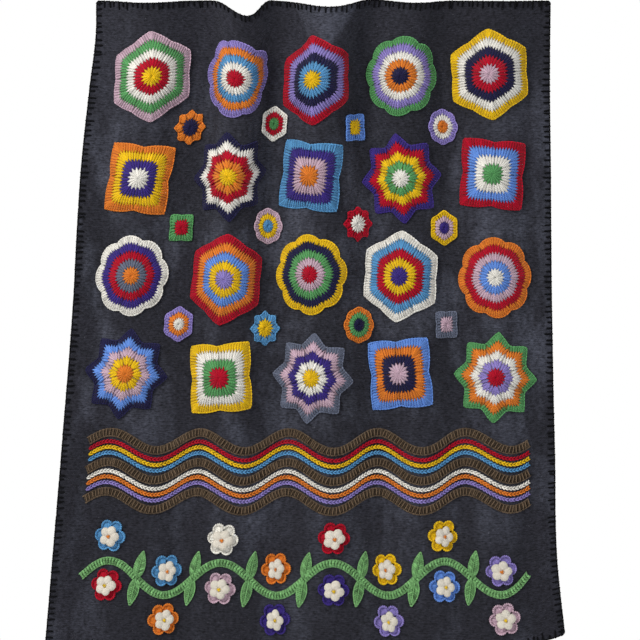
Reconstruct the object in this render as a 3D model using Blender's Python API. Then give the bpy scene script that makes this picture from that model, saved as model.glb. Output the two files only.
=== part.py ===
"""A wall hanging: a felt cloth that hangs in soft folds, with crocheted pieces sewn on its front.

Run with: blender --background --python part.py
Metres, +Z up. The front faces -Y. The origin is the middle of the cloth's top edge, by which it hangs.

The cloth is drawn flat first, as it was cut: u runs across it from its left edge, and v runs down
from its top edge. The same drawing places every sewn piece. It is then hung: each crossing of the
cloth's columns and rows gets its place in the folds, and the pieces follow the facets under them.
"""

import math
from typing import NamedTuple

import bmesh
import bpy
import numpy as np
from mathutils import Vector
from mathutils.geometry import delaunay_2d_cdt

# The cloth as it was cut
CUT_WIDTH = 0.900
CUT_HEIGHT = 1.070
CLOTH_THICKNESS = 0.0025

# The facets of the hung cloth: even columns, and rows that grow taller down the cloth
COLUMNS = 36
ROWS = 12
ROW_GROWTH = 1.4
FINE_STEPS = 900

# The crocheted pieces
GAP = 0.0004
CROCHET_THICKNESS = 0.0035
STRIP_THICKNESS = 0.0040
CORD_THICKNESS = 0.0042
PETAL_THICKNESS = 0.0040
FLOWER_CROWN = 0.0085
MOTIF_CROWN = 0.0010


class Span(NamedTuple):
    """A stretch of the top edge between two of the points that hold it."""

    end: float  # where its right-hand holding point is, across the flat cloth
    sag: float  # how far the edge drops between the two points
    lean: float  # 1 sags in the middle, more than 1 nearer the right-hand point


SPANS = (
    Span(end=0.198, sag=0.008, lean=1.0),
    Span(end=0.350, sag=0.031, lean=1.6),
    Span(end=0.560, sag=0.018, lean=1.25),
    Span(end=0.712, sag=0.008, lean=1.0),
    Span(end=0.900, sag=0.005, lean=1.0),
)
SAG_FADE = 0.22  # how far down the cloth the sag of the top edge is felt


class Fold(NamedTuple):
    """A fold that runs down the cloth and stands forward of the line it hangs on."""

    top: float  # its middle across the flat cloth, at the top and at the foot
    foot: float
    half_top: float  # half its width, at the top and at the foot
    half_foot: float
    forward: tuple  # how far it stands forward at each of FOLD_HEIGHTS


FOLD_HEIGHTS = (0.00, 0.08, 0.35, 0.70, 1.07)
FOLDS = (
    Fold(0.000, 0.000, 0.050, 0.070, (0.000, 0.004, 0.012, 0.008, 0.014)),
    Fold(0.100, 0.140, 0.099, 0.110, (0.024, 0.028, 0.016, 0.012, 0.014)),
    Fold(0.283, 0.310, 0.085, 0.095, (0.034, 0.044, 0.036, 0.024, 0.012)),
    Fold(0.464, 0.500, 0.096, 0.105, (0.030, 0.046, 0.032, 0.026, 0.014)),
    Fold(0.636, 0.670, 0.076, 0.090, (0.022, 0.028, 0.020, 0.022, 0.010)),
    Fold(0.806, 0.800, 0.094, 0.110, (0.022, 0.026, 0.016, 0.018, 0.016)),
    Fold(0.900, 0.900, 0.040, 0.060, (0.000, 0.003, 0.008, 0.006, 0.012)),
)

# A swag between two of the hooks: its face slants forward from a valley on its left to a ridge on
# its right, and the two meet below at its point. Places are across and down the flat cloth.
SWAG_LEFT = (0.392, 0.000)
SWAG_RIGHT = (0.533, 0.000)
SWAG_POINT = (0.448, 0.105)
SWAG_DEPTH = 0.014
SWAG_SHOULDER = 0.045  # how far to the right of the ridge it is felt
SWAG_REACH = 1.25  # how far down it is felt, as a share of the height of its point

# Where the two sides hang, left and right of the middle of the hooks
SIDE_HEIGHTS = (0.00, 0.05, 0.15, 0.28, 0.50, 0.75, 0.95, 1.07)
LEFT_SIDE = (-0.380, -0.380, -0.391, -0.404, -0.417, -0.437, -0.453, -0.463)
RIGHT_SIDE = (0.373, 0.372, 0.371, 0.372, 0.374, 0.379, 0.383, 0.395)

# The foot hangs lowest in the middle, and its right-hand corner is lifted
FOOT_BELLY = 0.008
CORNER_LIFT = 0.020
CORNER_REACH = 0.12

# The large motifs stand in rows, and the small ones between them
LARGE_COLUMNS = 5
LARGE_ROWS = 4
FIRST_LARGE = (0.106, 0.124)
LARGE_PITCH = (0.172, 0.166)
SMALL_RADIUS = 0.031


class Kind(NamedTuple):
    """A kind of motif."""

    radius: float  # to the corners of a large one
    turn: float  # so that it stands straight
    points: int  # in the outline of a large one
    small_points: int


KINDS = {
    "hexagon": Kind(0.078, math.pi / 6, 18, 12),
    "square": Kind(0.079, math.pi / 4, 16, 12),
    "star": Kind(0.077, 0.0, 16, 16),
    "rosette": Kind(0.068, 0.0, 32, 16),
}
SIDES = {"hexagon": 6, "square": 4}
STRAIGHT_SHARE = 0.80  # the rest of a side draws in towards its middle
STAR_VALLEY = 0.76
ROSETTE_NOTCH = 0.88
LARGE_KINDS = (
    ("hexagon", "rosette", "hexagon", "rosette", "hexagon"),
    ("square", "star", "square", "star", "square"),
    ("rosette", "hexagon", "rosette", "hexagon", "rosette"),
    ("star", "square", "star", "square", "star"),
)
LARGE_EDGES = (
    ("pink", "lilac", "red", "green", "yellow"),
    ("orange", "navy", "sky", "purple", "red"),
    ("white", "red", "yellow", "white", "orange"),
    ("navy", "yellow", "grey", "cornflower", "green"),
)
SMALL_KINDS = (
    ("star", "hexagon", "square", "rosette"),
    ("square", "rosette", "star", "hexagon"),
    ("hexagon", "star", "rosette", "square"),
)
SMALL_EDGES = (
    ("orange", "white", "cornflower", "lilac"),
    ("green", "pink", "red", "yellow"),
    ("lilac", "sky", "orange", "grey"),
)
HAND_SHIFT = 0.004  # no two pieces are sewn quite in line
HAND_TURN = math.radians(5)
FIRST_SMALL_NUMBER = 40  # small motifs and flowers are numbered on from here for their shifts
FIRST_FLOWER_NUMBER = 70

# The waved strips and cords under the motifs
BAND_ENDS = (0.045, 0.855)
BAND_WAVE_HEIGHT = 0.015
BAND_WAVE_LENGTH = 0.164
STRIP_WIDTH = 0.015
CORD_WIDTH = 0.0070


class Band(NamedTuple):
    """A strip or cord that crosses the cloth in waves."""

    name: str
    yarn: str
    height: float  # how far down the cloth its middle runs
    width: float


BANDS = (
    Band("strip_upper", "brown", 0.730, STRIP_WIDTH),
    Band("cord_red", "red", 0.7450, CORD_WIDTH),
    Band("cord_yellow", "yellow", 0.7545, CORD_WIDTH),
    Band("cord_sky", "sky", 0.7640, CORD_WIDTH),
    Band("strip_middle", "brown", 0.779, STRIP_WIDTH),
    Band("cord_white", "white", 0.7940, CORD_WIDTH),
    Band("cord_orange", "orange", 0.8035, CORD_WIDTH),
    Band("cord_lilac", "lilac", 0.8130, CORD_WIDTH),
    Band("strip_lower", "brown", 0.828, STRIP_WIDTH),
)

# The border at the foot: a leafy green vine, with a flower on each side of every bend
VINE_HEIGHT = 0.955
VINE_WIDTH = 0.013
VINE_ENDS = (0.050, 0.850)
VINE_WAVE_HEIGHT = 0.028
VINE_WAVE_LENGTH = 0.200
BENDS = 8
LEAF_LENGTH = 0.046
LEAF_HALF_WIDTH = 0.010
LEAF_LEAN = math.radians(12)
LEAF_SHARES = (0.0, 0.25, 0.55, 0.80)
LEAF_FULLNESS = (0.35, 0.95, 1.0, 0.60)
FLOWER_RADIUS = 0.0255
FLOWER_EYE = 0.0145
FLOWER_PETALS = 6
PETAL_NOTCH = 0.80  # how far in the edge comes between two petals
EYE_SHARE = 0.62  # the dome of the eye: its shoulder, as a share of its radius and height
EYE_SHOULDER = 0.80
INNER_FLOWERS = 0.014  # how far the flowers inside and outside the bends lie off the vine's line
OUTER_FLOWERS = 0.068
FLOWER_SHIFT = 0.5  # flowers are sewn on nearer their places than motifs
INNER_YARNS = ("red", "sky", "pink", "orange", "purple", "yellow", "cornflower", "lilac")
OUTER_YARNS = ("sky", "orange", "white", "purple", "red", "lilac", "yellow", "pink")

ROUGHNESS = 0.9
COLOURS = {
    "felt": (0.026, 0.027, 0.036),
    "red": (0.43, 0.004, 0.021),
    "orange": (0.71, 0.205, 0.026),
    "yellow": (0.78, 0.50, 0.010),
    "white": (0.80, 0.775, 0.71),
    "navy": (0.016, 0.015, 0.058),
    "purple": (0.046, 0.027, 0.205),
    "lilac": (0.27, 0.215, 0.53),
    "pink": (0.54, 0.38, 0.455),
    "sky": (0.10, 0.30, 0.55),
    "cornflower": (0.13, 0.275, 0.69),
    "green": (0.10, 0.32, 0.11),
    "grey": (0.13, 0.147, 0.205),
    "brown": (0.125, 0.087, 0.057),
}


def smooth(at, knots, values):
    """A smooth line through the knots, read at the given places."""
    knots, values = np.array(knots), np.array(values)
    slopes = np.gradient(values, knots)
    at = np.clip(at, knots[0], knots[-1])
    i = np.clip(np.searchsorted(knots, at, side="right") - 1, 0, len(knots) - 2)
    step = knots[i + 1] - knots[i]
    t = (at - knots[i]) / step
    rise = t * t * (3 - 2 * t)
    start = t * (1 - t) ** 2 * step * slopes[i]
    finish = t * t * (t - 1) * step * slopes[i + 1]
    return values[i] * (1 - rise) + values[i + 1] * rise + start + finish


def beside(u, v, start, end):
    """How far a place of the flat cloth lies to the right of a line down it."""
    run = (end[0] - start[0], end[1] - start[1])
    return ((u - start[0]) * run[1] - (v - start[1]) * run[0]) / math.hypot(*run)


def swag(u, v):
    """How far the swag's slanting face stands forward."""
    inside = beside(u, v, SWAG_LEFT, SWAG_POINT)
    outside = beside(u, v, SWAG_RIGHT, SWAG_POINT)
    share = np.clip(inside / np.maximum(inside - outside, 1e-6), 0, 1)
    past = np.exp(-((np.clip(outside, 0, None) / SWAG_SHOULDER) ** 2))
    fade = np.clip(1 - v / (SWAG_POINT[1] * SWAG_REACH), 0, 1) ** 0.6
    return SWAG_DEPTH * np.sin(math.pi / 2 * share) * past * fade


def forward(u, v):
    """How far the cloth stands forward of the line that it hangs on."""
    total = swag(u, v)
    down = v / CUT_HEIGHT
    for fold in FOLDS:
        middle = fold.top + (fold.foot - fold.top) * down
        half = fold.half_top + (fold.half_foot - fold.half_top) * down
        reach = np.clip(np.abs(u - middle) / half, 0, 1)
        total = total + smooth(v, FOLD_HEIGHTS, fold.forward) * np.cos(math.pi / 2 * reach) ** 2
    return total


def sag(u):
    """How far the top edge drops below its holding points."""
    drop = np.zeros(np.shape(u))
    start = 0.0
    for span in SPANS:
        share = np.clip((u - start) / (span.end - start), 0, 1) ** span.lean
        drop = drop + span.sag * np.sin(math.pi * share) ** 2
        start = span.end
    return drop


def below_the_hooks(across, down):
    """The middle of the cloth's thickness at each crossing of these columns and rows.

    Places are measured from the middle of the straight line that the cloth is hooked along.
    """
    fine = np.linspace(0, CUT_WIDTH, FINE_STEPS + 1)
    v = np.array(down)[:, None]
    ahead = forward(fine[None, :], v)
    run = np.sqrt(np.clip(1 - np.gradient(ahead, fine, axis=1) ** 2, 0.1, 1))
    share = np.cumsum(run, axis=1) - run[:, :1]
    share /= share[:, -1:]
    left = smooth(v, SIDE_HEIGHTS, LEFT_SIDE)
    right = smooth(v, SIDE_HEIGHTS, RIGHT_SIDE)
    x = left + (right - left) * share
    middle = 2 * fine / CUT_WIDTH - 1
    corner = np.clip((fine - CUT_WIDTH + CORNER_REACH) / CORNER_REACH, 0, 1) ** 2
    low = np.clip(v / CUT_HEIGHT, 0, 1) ** 4
    z = -v - sag(fine) * np.exp(-np.clip(v, 0, None) / SAG_FADE)
    z = z - low * (FOOT_BELLY * (1 - middle**2) - CORNER_LIFT * corner)
    rows = [
        np.stack([np.interp(across, fine, a) for a in (x[j], -ahead[j], z[j])], axis=-1)
        for j in range(len(down))
    ]
    return np.array(rows)


def hung(across, down):
    """The same places, measured from the middle of the cloth's top edge."""
    return below_the_hooks(across, down) - below_the_hooks([CUT_WIDTH / 2], [0.0])[0, 0]


class Hanging:
    """The hung cloth as flat facets, and the way from the flat drawing to them."""

    def __init__(self):
        self.across = np.linspace(0, CUT_WIDTH, COLUMNS + 1)
        self.down = CUT_HEIGHT * (np.arange(ROWS + 1) / ROWS) ** ROW_GROWTH
        near = 0.001
        self.points = hung(self.across, self.down)
        along_u = hung(self.across + near, self.down) - hung(self.across - near, self.down)
        along_v = hung(self.across, self.down + near) - hung(self.across, self.down - near)
        normals = np.cross(along_v, along_u)
        self.normals = normals / np.linalg.norm(normals, axis=2, keepdims=True)

    def cell(self, u, v):
        """The column and row of the cell that holds a point."""
        i = int(np.clip(np.searchsorted(self.across, u, side="right") - 1, 0, COLUMNS - 1))
        j = int(np.clip(np.searchsorted(self.down, v, side="right") - 1, 0, ROWS - 1))
        return i, j

    def place(self, u, v, lift):
        """A point of the flat drawing, hung, and lifted off the middle of the cloth."""
        i, j = self.cell(u, v)
        a = (u - self.across[i]) / (self.across[i + 1] - self.across[i])
        b = (v - self.down[j]) / (self.down[j + 1] - self.down[j])
        corner = {
            (s, t): self.points[j + t, i + s] + lift * self.normals[j + t, i + s]
            for s in (0, 1)
            for t in (0, 1)
        }
        first = (1, 0) if a >= b else (0, 1)
        along, rest = (a, b) if a >= b else (b, a)
        step = corner[first] - corner[0, 0]
        return corner[0, 0] + along * step + rest * (corner[1, 1] - corner[first])


def matt_material(name):
    """A plain matt material in the colour of the felt or of a yarn."""
    material = bpy.data.materials.get(name)
    if material is None:
        material = bpy.data.materials.new(name)
        material.use_nodes = True
        shader = material.node_tree.nodes["Principled BSDF"]
        shader.inputs["Base Color"].default_value = (*COLOURS[name], 1)
        shader.inputs["Roughness"].default_value = ROUGHNESS
        shader.inputs["Metallic"].default_value = 0
    return material


def cut_along(bm, faces, point, direction):
    """Cuts these faces of a flat drawing along a line."""
    geometry = set(faces)
    for face in faces:
        geometry.update(face.edges)
        geometry.update(face.verts)
    across = (direction[1], -direction[0], 0)
    bmesh.ops.bisect_plane(
        bm, geom=list(geometry), dist=1e-7, plane_co=(*point, 0), plane_no=across
    )


def cut_to_facets(bm, hanging):
    """Cuts a flat drawing along every line where the hung cloth's facets meet."""
    low = [min(v.co[k] for v in bm.verts) for k in (0, 1)]
    high = [max(v.co[k] for v in bm.verts) for k in (0, 1)]
    for u in hanging.across:
        if low[0] < u < high[0]:
            cut_along(bm, bm.faces[:], (u, 0), (0, 1))
    for v in hanging.down:
        if low[1] < -v < high[1]:
            cut_along(bm, bm.faces[:], (0, -v), (1, 0))
    for face in bm.faces[:]:
        middle = face.calc_center_median()
        i, j = hanging.cell(middle.x, -middle.y)
        corner = (hanging.across[i], -hanging.down[j])
        slope = (
            hanging.across[i + 1] - hanging.across[i],
            hanging.down[j] - hanging.down[j + 1],
        )
        cut_along(bm, [face], corner, slope)


def hang_solid(name, bm, hanging, low, high, yarn, crown=None):
    """Turns a flat drawing into a solid layer between two lifts off the cloth, and hangs it."""
    cut_to_facets(bm, hanging)
    bmesh.ops.triangulate(bm, faces=bm.faces[:])
    under = bm.verts[:]
    made = bmesh.ops.extrude_face_region(bm, geom=bm.faces[:], use_keep_orig=True)
    over = [g for g in made["geom"] if isinstance(g, bmesh.types.BMVert)]
    for vert in over:
        vert.co.z = high + (crown(vert.co.x, -vert.co.y) if crown else 0)
    for vert in under:
        vert.co.z = low
    bmesh.ops.recalc_face_normals(bm, faces=bm.faces[:])
    for vert in bm.verts:
        vert.co = hanging.place(vert.co.x, -vert.co.y, vert.co.z)
    mesh = bpy.data.meshes.new(name)
    bm.to_mesh(mesh)
    bm.free()
    mesh.materials.append(matt_material(yarn))
    piece = bpy.data.objects.new(name, mesh)
    bpy.context.scene.collection.objects.link(piece)


def around(centre, reach, angle):
    """A point of the drawing at this distance and angle from a centre."""
    return (centre[0] + reach * math.cos(angle), -centre[1] + reach * math.sin(angle), 0)


def drawing(points):
    """A flat face inside this outline."""
    bm = bmesh.new()
    bm.faces.new([bm.verts.new((u, -v, 0)) for u, v in points])
    bm.normal_update()
    return bm


def profile(kind, angle):
    """The outline of each kind of motif: its radius at an angle, as a share of its largest."""
    if kind in SIDES:
        turn = 2 * math.pi / SIDES[kind]
        off_middle = abs(angle % turn - turn / 2)
        straight = math.cos(turn / 2) / math.cos(off_middle)
        drawn_in = math.cos(turn / 2 - off_middle) ** 2
        return STRAIGHT_SHARE * straight + (1 - STRAIGHT_SHARE) * drawn_in
    if kind == "star":
        return STAR_VALLEY + (1 - STAR_VALLEY) * (1 - abs(math.sin(4 * angle))) ** 0.8
    return ROSETTE_NOTCH + (1 - ROSETTE_NOTCH) * abs(math.cos(4 * angle)) ** 0.6


def motif(name, kind, centre, radius, turn, yarn, hanging, points):
    """A crocheted motif: a flat piece with its middle a little fuller than its rim."""
    angles = [2 * math.pi * k / points for k in range(points)]
    rim = [around(centre, radius * profile(kind, angle), angle + turn) for angle in angles]
    drawn = bmesh.new()
    drawn.faces.new([drawn.verts.new(place) for place in rim])
    drawn.normal_update()

    def crown(u, v):
        away = math.hypot(u - centre[0], v - centre[1]) / radius
        return MOTIF_CROWN * max(0.0, 1 - away**2)

    low = CLOTH_THICKNESS / 2 + GAP
    hang_solid(name, drawn, hanging, low, low + CROCHET_THICKNESS, yarn, crown)


def by_hand(number):
    """The small shift and turn of a piece that was sewn on by hand."""
    shift = (HAND_SHIFT * math.sin(2.3 * number + 1), HAND_SHIFT * math.sin(4.1 * number))
    return shift, HAND_TURN * math.sin(3.1 * number + 2)


def large_motifs(hanging):
    """Twenty large motifs in four rows of five."""
    for row in range(LARGE_ROWS):
        for column in range(LARGE_COLUMNS):
            name = LARGE_KINDS[row][column]
            kind = KINDS[name]
            shift, turn = by_hand(LARGE_COLUMNS * row + column)
            centre = (
                FIRST_LARGE[0] + LARGE_PITCH[0] * column + shift[0],
                FIRST_LARGE[1] + LARGE_PITCH[1] * row + shift[1],
            )
            motif(
                f"{name}_{row + 1}{column + 1}", name, centre, kind.radius, kind.turn + turn,
                LARGE_EDGES[row][column], hanging, kind.points,
            )


def small_motifs(hanging):
    """Twelve small motifs, each in the gap between four large ones."""
    for row in range(LARGE_ROWS - 1):
        for column in range(LARGE_COLUMNS - 1):
            name = SMALL_KINDS[row][column]
            kind = KINDS[name]
            shift, turn = by_hand(FIRST_SMALL_NUMBER + LARGE_COLUMNS * row + column)
            centre = (
                FIRST_LARGE[0] + LARGE_PITCH[0] * (column + 0.5) + shift[0],
                FIRST_LARGE[1] + LARGE_PITCH[1] * (row + 0.5) + shift[1],
            )
            motif(
                f"small_{name}_{row + 1}{column + 1}", name, centre, SMALL_RADIUS, kind.turn + turn,
                SMALL_EDGES[row][column], hanging, kind.small_points,
            )


class Wave(NamedTuple):
    """A line that crosses the cloth in waves."""

    ends: tuple
    height: float
    rise: float
    length: float

    def middle(self, u):
        """How far down the cloth the line runs here."""
        return self.height - self.rise * math.sin(2 * math.pi * (u - self.ends[0]) / self.length)

    def outline(self, width, columns):
        """The outline of a band of even width along the line, with a point at each column."""
        inside = [u for u in columns if self.ends[0] < u < self.ends[1]]
        upper, lower = [], []
        for u in [self.ends[0], *inside, self.ends[1]]:
            turn = 2 * math.pi / self.length
            slope = self.rise * turn * math.cos(turn * (u - self.ends[0]))
            half = width / 2 * math.hypot(1, slope)
            upper.append((u, self.middle(u) - half))
            lower.append((u, self.middle(u) + half))
        return lower + upper[::-1]


def waved_bands(hanging):
    """The brown strips and the coloured cords between them."""
    low = CLOTH_THICKNESS / 2 + GAP
    for band in BANDS:
        wave = Wave(BAND_ENDS, band.height, BAND_WAVE_HEIGHT, BAND_WAVE_LENGTH)
        drawn = drawing(wave.outline(band.width, hanging.across))
        thickness = STRIP_THICKNESS if band.width == STRIP_WIDTH else CORD_THICKNESS
        hang_solid(band.name, drawn, hanging, low, low + thickness, band.yarn)


def leaf_outline(foot, way):
    """A leaf that grows up or down from a place on the vine."""
    left, right = [], []
    for share, fullness in zip(LEAF_SHARES, LEAF_FULLNESS):
        left.append((-LEAF_HALF_WIDTH * fullness, share * LEAF_LENGTH))
        right.append((LEAF_HALF_WIDTH * fullness, share * LEAF_LENGTH))
    lean = LEAF_LEAN * way
    return [
        (
            foot[0] + out * math.cos(lean) + along * math.sin(lean),
            foot[1] - way * (along * math.cos(lean) - out * math.sin(lean)),
        )
        for out, along in left + [(0, LEAF_LENGTH)] + right[::-1]
    ]


def merged_drawing(outlines):
    """One flat drawing of all these outlines, which overlap each other."""
    corners, loops = [], []
    for outline in outlines:
        loops.append(list(range(len(corners), len(corners) + len(outline))))
        corners.extend(Vector((u, -v)) for u, v in outline)
    places, _, faces, *_ = delaunay_2d_cdt(corners, [], loops, 1, 1e-7)
    bm = bmesh.new()
    verts = [bm.verts.new((*place, 0)) for place in places]
    for face in faces:
        bm.faces.new([verts[i] for i in face])
    loose = [vert for vert in bm.verts if not vert.link_faces]
    bmesh.ops.delete(bm, geom=loose, context="VERTS")
    bmesh.ops.recalc_face_normals(bm, faces=bm.faces[:])
    return bm


def vine(hanging):
    """The green strip that winds along the foot of the cloth, with its leaves."""
    low = CLOTH_THICKNESS / 2 + GAP
    wave = Wave(VINE_ENDS, VINE_HEIGHT, VINE_WAVE_HEIGHT, VINE_WAVE_LENGTH)
    outlines = [wave.outline(VINE_WIDTH, hanging.across)]
    for number in range(1, BENDS):
        u = VINE_ENDS[0] + VINE_WAVE_LENGTH / 2 * number
        for way in (-1, 1):
            outlines.append(leaf_outline((u, wave.middle(u)), way))
    hang_solid("vine", merged_drawing(outlines), hanging, low, low + STRIP_THICKNESS, "green")


def flower_drawing(centre, turn):
    """A flower's petals, and rings of points for its raised eye."""
    steps = 2 * FLOWER_PETALS
    outer, ring, shoulder = [], [], []
    bm = bmesh.new()
    for k in range(steps):
        angle = 2 * math.pi * k / steps + turn
        reach = FLOWER_RADIUS * (1.0 if k % 2 == 0 else PETAL_NOTCH)
        outer.append(bm.verts.new(around(centre, reach, angle)))
        if k % 2 == 0:
            ring.append(bm.verts.new(around(centre, FLOWER_EYE, angle)))
            shoulder.append(bm.verts.new(around(centre, EYE_SHARE * FLOWER_EYE, angle)))
    middle = bm.verts.new(around(centre, 0, 0))
    for k in range(FLOWER_PETALS):
        after = (k + 1) % FLOWER_PETALS
        bm.faces.new((ring[k], outer[2 * k], outer[2 * k + 1]))
        bm.faces.new((ring[k], outer[2 * k + 1], ring[after]))
        bm.faces.new((ring[after], outer[2 * k + 1], outer[(2 * k + 2) % steps]))
        bm.faces.new((shoulder[k], ring[k], ring[after], shoulder[after]))
        bm.faces.new((middle, shoulder[k], shoulder[after]))
    bmesh.ops.recalc_face_normals(bm, faces=bm.faces[:])
    return bm


def flower(name, centre, turn, yarn, hanging):
    """A crocheted flower with six petals and a puffy eye."""

    def crown(u, v):
        away = math.hypot(u - centre[0], v - centre[1]) / FLOWER_EYE
        slope = EYE_SHOULDER / (1 - EYE_SHARE)
        top = 1 - (1 - EYE_SHOULDER) * away / EYE_SHARE
        return FLOWER_CROWN * max(0.0, min(slope * (1 - away), top))

    low = CLOTH_THICKNESS / 2 + GAP
    drawn = flower_drawing(centre, turn)
    hang_solid(name, drawn, hanging, low, low + PETAL_THICKNESS, yarn, crown)


def flowers(hanging):
    """Two flowers at each bend of the vine, one inside it and one outside."""
    for number in range(BENDS):
        u = VINE_ENDS[0] + VINE_WAVE_LENGTH * (0.25 + 0.5 * number)
        inward = 1 if number % 2 == 0 else -1
        rows = (
            ("inner", inward * INNER_FLOWERS, INNER_YARNS),
            ("outer", -inward * OUTER_FLOWERS, OUTER_YARNS),
        )
        for row, (place, off, yarns) in enumerate(rows):
            shift, turn = by_hand(FIRST_FLOWER_NUMBER + BENDS * row + number)
            centre = (u + FLOWER_SHIFT * shift[0], VINE_HEIGHT + off + FLOWER_SHIFT * shift[1])
            flower(f"flower_{place}_{number + 1}", centre, turn, yarns[number], hanging)


def cloth(hanging):
    """The felt cloth, cut to its full size."""
    corners = [(0, 0), (0, CUT_HEIGHT), (CUT_WIDTH, CUT_HEIGHT), (CUT_WIDTH, 0)]
    half = CLOTH_THICKNESS / 2
    hang_solid("felt_cloth", drawing(corners), hanging, -half, half, "felt")


def main():
    for old in list(bpy.data.objects):
        bpy.data.objects.remove(old)
    hanging = Hanging()
    cloth(hanging)
    large_motifs(hanging)
    small_motifs(hanging)
    waved_bands(hanging)
    vine(hanging)
    flowers(hanging)


main()
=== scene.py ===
"""A felt wall hanging with crocheted pieces: its cloth, stitches and yarn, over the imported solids."""

import math

import bmesh
import bpy
import numpy as np
from bpy.props import FloatProperty, FloatVectorProperty, IntProperty, PointerProperty
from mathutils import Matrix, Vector


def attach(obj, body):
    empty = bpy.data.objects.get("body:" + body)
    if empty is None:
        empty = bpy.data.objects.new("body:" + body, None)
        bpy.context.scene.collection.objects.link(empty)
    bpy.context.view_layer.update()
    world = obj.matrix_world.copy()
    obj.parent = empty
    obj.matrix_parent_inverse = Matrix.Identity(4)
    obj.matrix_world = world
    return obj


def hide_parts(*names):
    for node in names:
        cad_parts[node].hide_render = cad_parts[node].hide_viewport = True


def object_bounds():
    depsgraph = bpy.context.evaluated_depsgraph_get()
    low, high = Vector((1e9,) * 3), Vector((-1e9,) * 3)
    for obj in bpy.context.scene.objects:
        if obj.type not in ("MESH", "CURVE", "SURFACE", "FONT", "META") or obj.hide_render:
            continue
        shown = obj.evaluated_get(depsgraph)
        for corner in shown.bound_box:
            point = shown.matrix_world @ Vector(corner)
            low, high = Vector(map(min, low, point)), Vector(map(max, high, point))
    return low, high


bl_info = {
    "name": "Crocheted wall hanging",
    "version": (1, 0, 0),
    "blender": (4, 5, 0),
    "location": "View3D > Sidebar > Hanging",
    "description": "Makes a felt hanging with its folds, crocheted motifs, bands, flowers and edge stitch",
    "category": "Add Mesh",
}

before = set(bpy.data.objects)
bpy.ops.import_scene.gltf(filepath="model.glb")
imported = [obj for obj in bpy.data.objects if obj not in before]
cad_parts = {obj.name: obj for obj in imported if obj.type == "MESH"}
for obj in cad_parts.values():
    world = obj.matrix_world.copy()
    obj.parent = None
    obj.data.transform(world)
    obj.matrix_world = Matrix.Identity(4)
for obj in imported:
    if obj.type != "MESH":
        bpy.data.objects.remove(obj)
CAD_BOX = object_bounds()

# The cloth as it was cut, and the layer that is sewn on it, in metres
CUT_WIDTH = 0.900
CUT_HEIGHT = 1.070
CLOTH_THICKNESS = 0.0025
SEWN_FROM = CLOTH_THICKNESS / 2 + 0.0003
FACE = CLOTH_THICKNESS / 2

# Each span of the top edge between holding points: its end, its sag and its lean to the right
SPANS = (
    (0.198, 0.008, 1.0),
    (0.350, 0.031, 1.6),
    (0.560, 0.018, 1.25),
    (0.712, 0.008, 1.0),
    (0.900, 0.005, 1.0),
)
SAG_FADE = 0.22

# Each fold: its middle at the top and at the foot, half its width at both, and how far it
# stands forward at each of FOLD_HEIGHTS
FOLD_HEIGHTS = (0.00, 0.08, 0.35, 0.70, 1.07)
FOLDS = (
    (0.000, 0.000, 0.050, 0.070, (0.000, 0.004, 0.012, 0.008, 0.014)),
    (0.100, 0.140, 0.099, 0.110, (0.024, 0.028, 0.016, 0.012, 0.014)),
    (0.283, 0.310, 0.085, 0.095, (0.034, 0.044, 0.036, 0.024, 0.012)),
    (0.464, 0.500, 0.096, 0.105, (0.030, 0.046, 0.032, 0.026, 0.014)),
    (0.636, 0.670, 0.076, 0.090, (0.022, 0.028, 0.020, 0.022, 0.010)),
    (0.806, 0.800, 0.094, 0.110, (0.022, 0.026, 0.016, 0.018, 0.016)),
    (0.900, 0.900, 0.040, 0.060, (0.000, 0.003, 0.008, 0.006, 0.012)),
)

# Each soft crease: where it starts and ends across and down the cloth, its width, and how far
# it stands forward, or back where that is less than nothing
CREASES = (
    ((0.292, 0.020), (0.335, 0.090), 0.014, -0.0070),
    ((0.240, 0.640), (0.262, 0.850), 0.018, -0.0030),
    ((0.318, 0.700), (0.330, 0.800), 0.014, 0.0020),
    ((0.535, 0.420), (0.548, 0.520), 0.018, -0.0022),
    ((0.640, 0.330), (0.688, 0.450), 0.018, -0.0025),
    ((0.770, 0.450), (0.776, 0.560), 0.016, 0.0020),
    ((0.690, 0.560), (0.720, 0.650), 0.016, -0.0022),
    ((0.430, 0.960), (0.445, 1.060), 0.020, 0.0030),
    ((0.735, 0.760), (0.748, 0.880), 0.018, -0.0026),
    ((0.060, 0.200), (0.040, 0.330), 0.018, 0.0022),
    ((0.860, 0.860), (0.845, 0.960), 0.016, -0.0022),
    ((0.130, 0.900), (0.150, 1.030), 0.020, -0.0028),
)

RIDGE_HEIGHT = 0.003

# The slight unevenness: how often each swell comes across and down, its shift and its height
UNEVENNESS = ((41, 17, 0.3, 0.0007), (23, 37, 1.9, 0.0006), (67, 29, 4.0, 0.0003))

# The swag between two hooks: a slanting face from a sharp valley on its left to a soft ridge on
# its right, which meet below at its point
SWAG_LEFT = (0.392, 0.000)
SWAG_RIGHT = (0.533, 0.000)
SWAG_POINT = (0.448, 0.105)
SWAG_DEPTH = 0.014
SWAG_SHOULDER = 0.045
SWAG_REACH = 1.25

# Where the two sides hang
SIDE_HEIGHTS = (0.00, 0.05, 0.15, 0.28, 0.50, 0.75, 0.95, 1.07)
LEFT_SIDE = (-0.380, -0.380, -0.391, -0.404, -0.417, -0.437, -0.453, -0.463)
RIGHT_SIDE = (0.373, 0.372, 0.371, 0.372, 0.374, 0.379, 0.383, 0.395)
FOOT_BELLY = 0.008
CORNER_LIFT = 0.020
CORNER_REACH = 0.12

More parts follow.
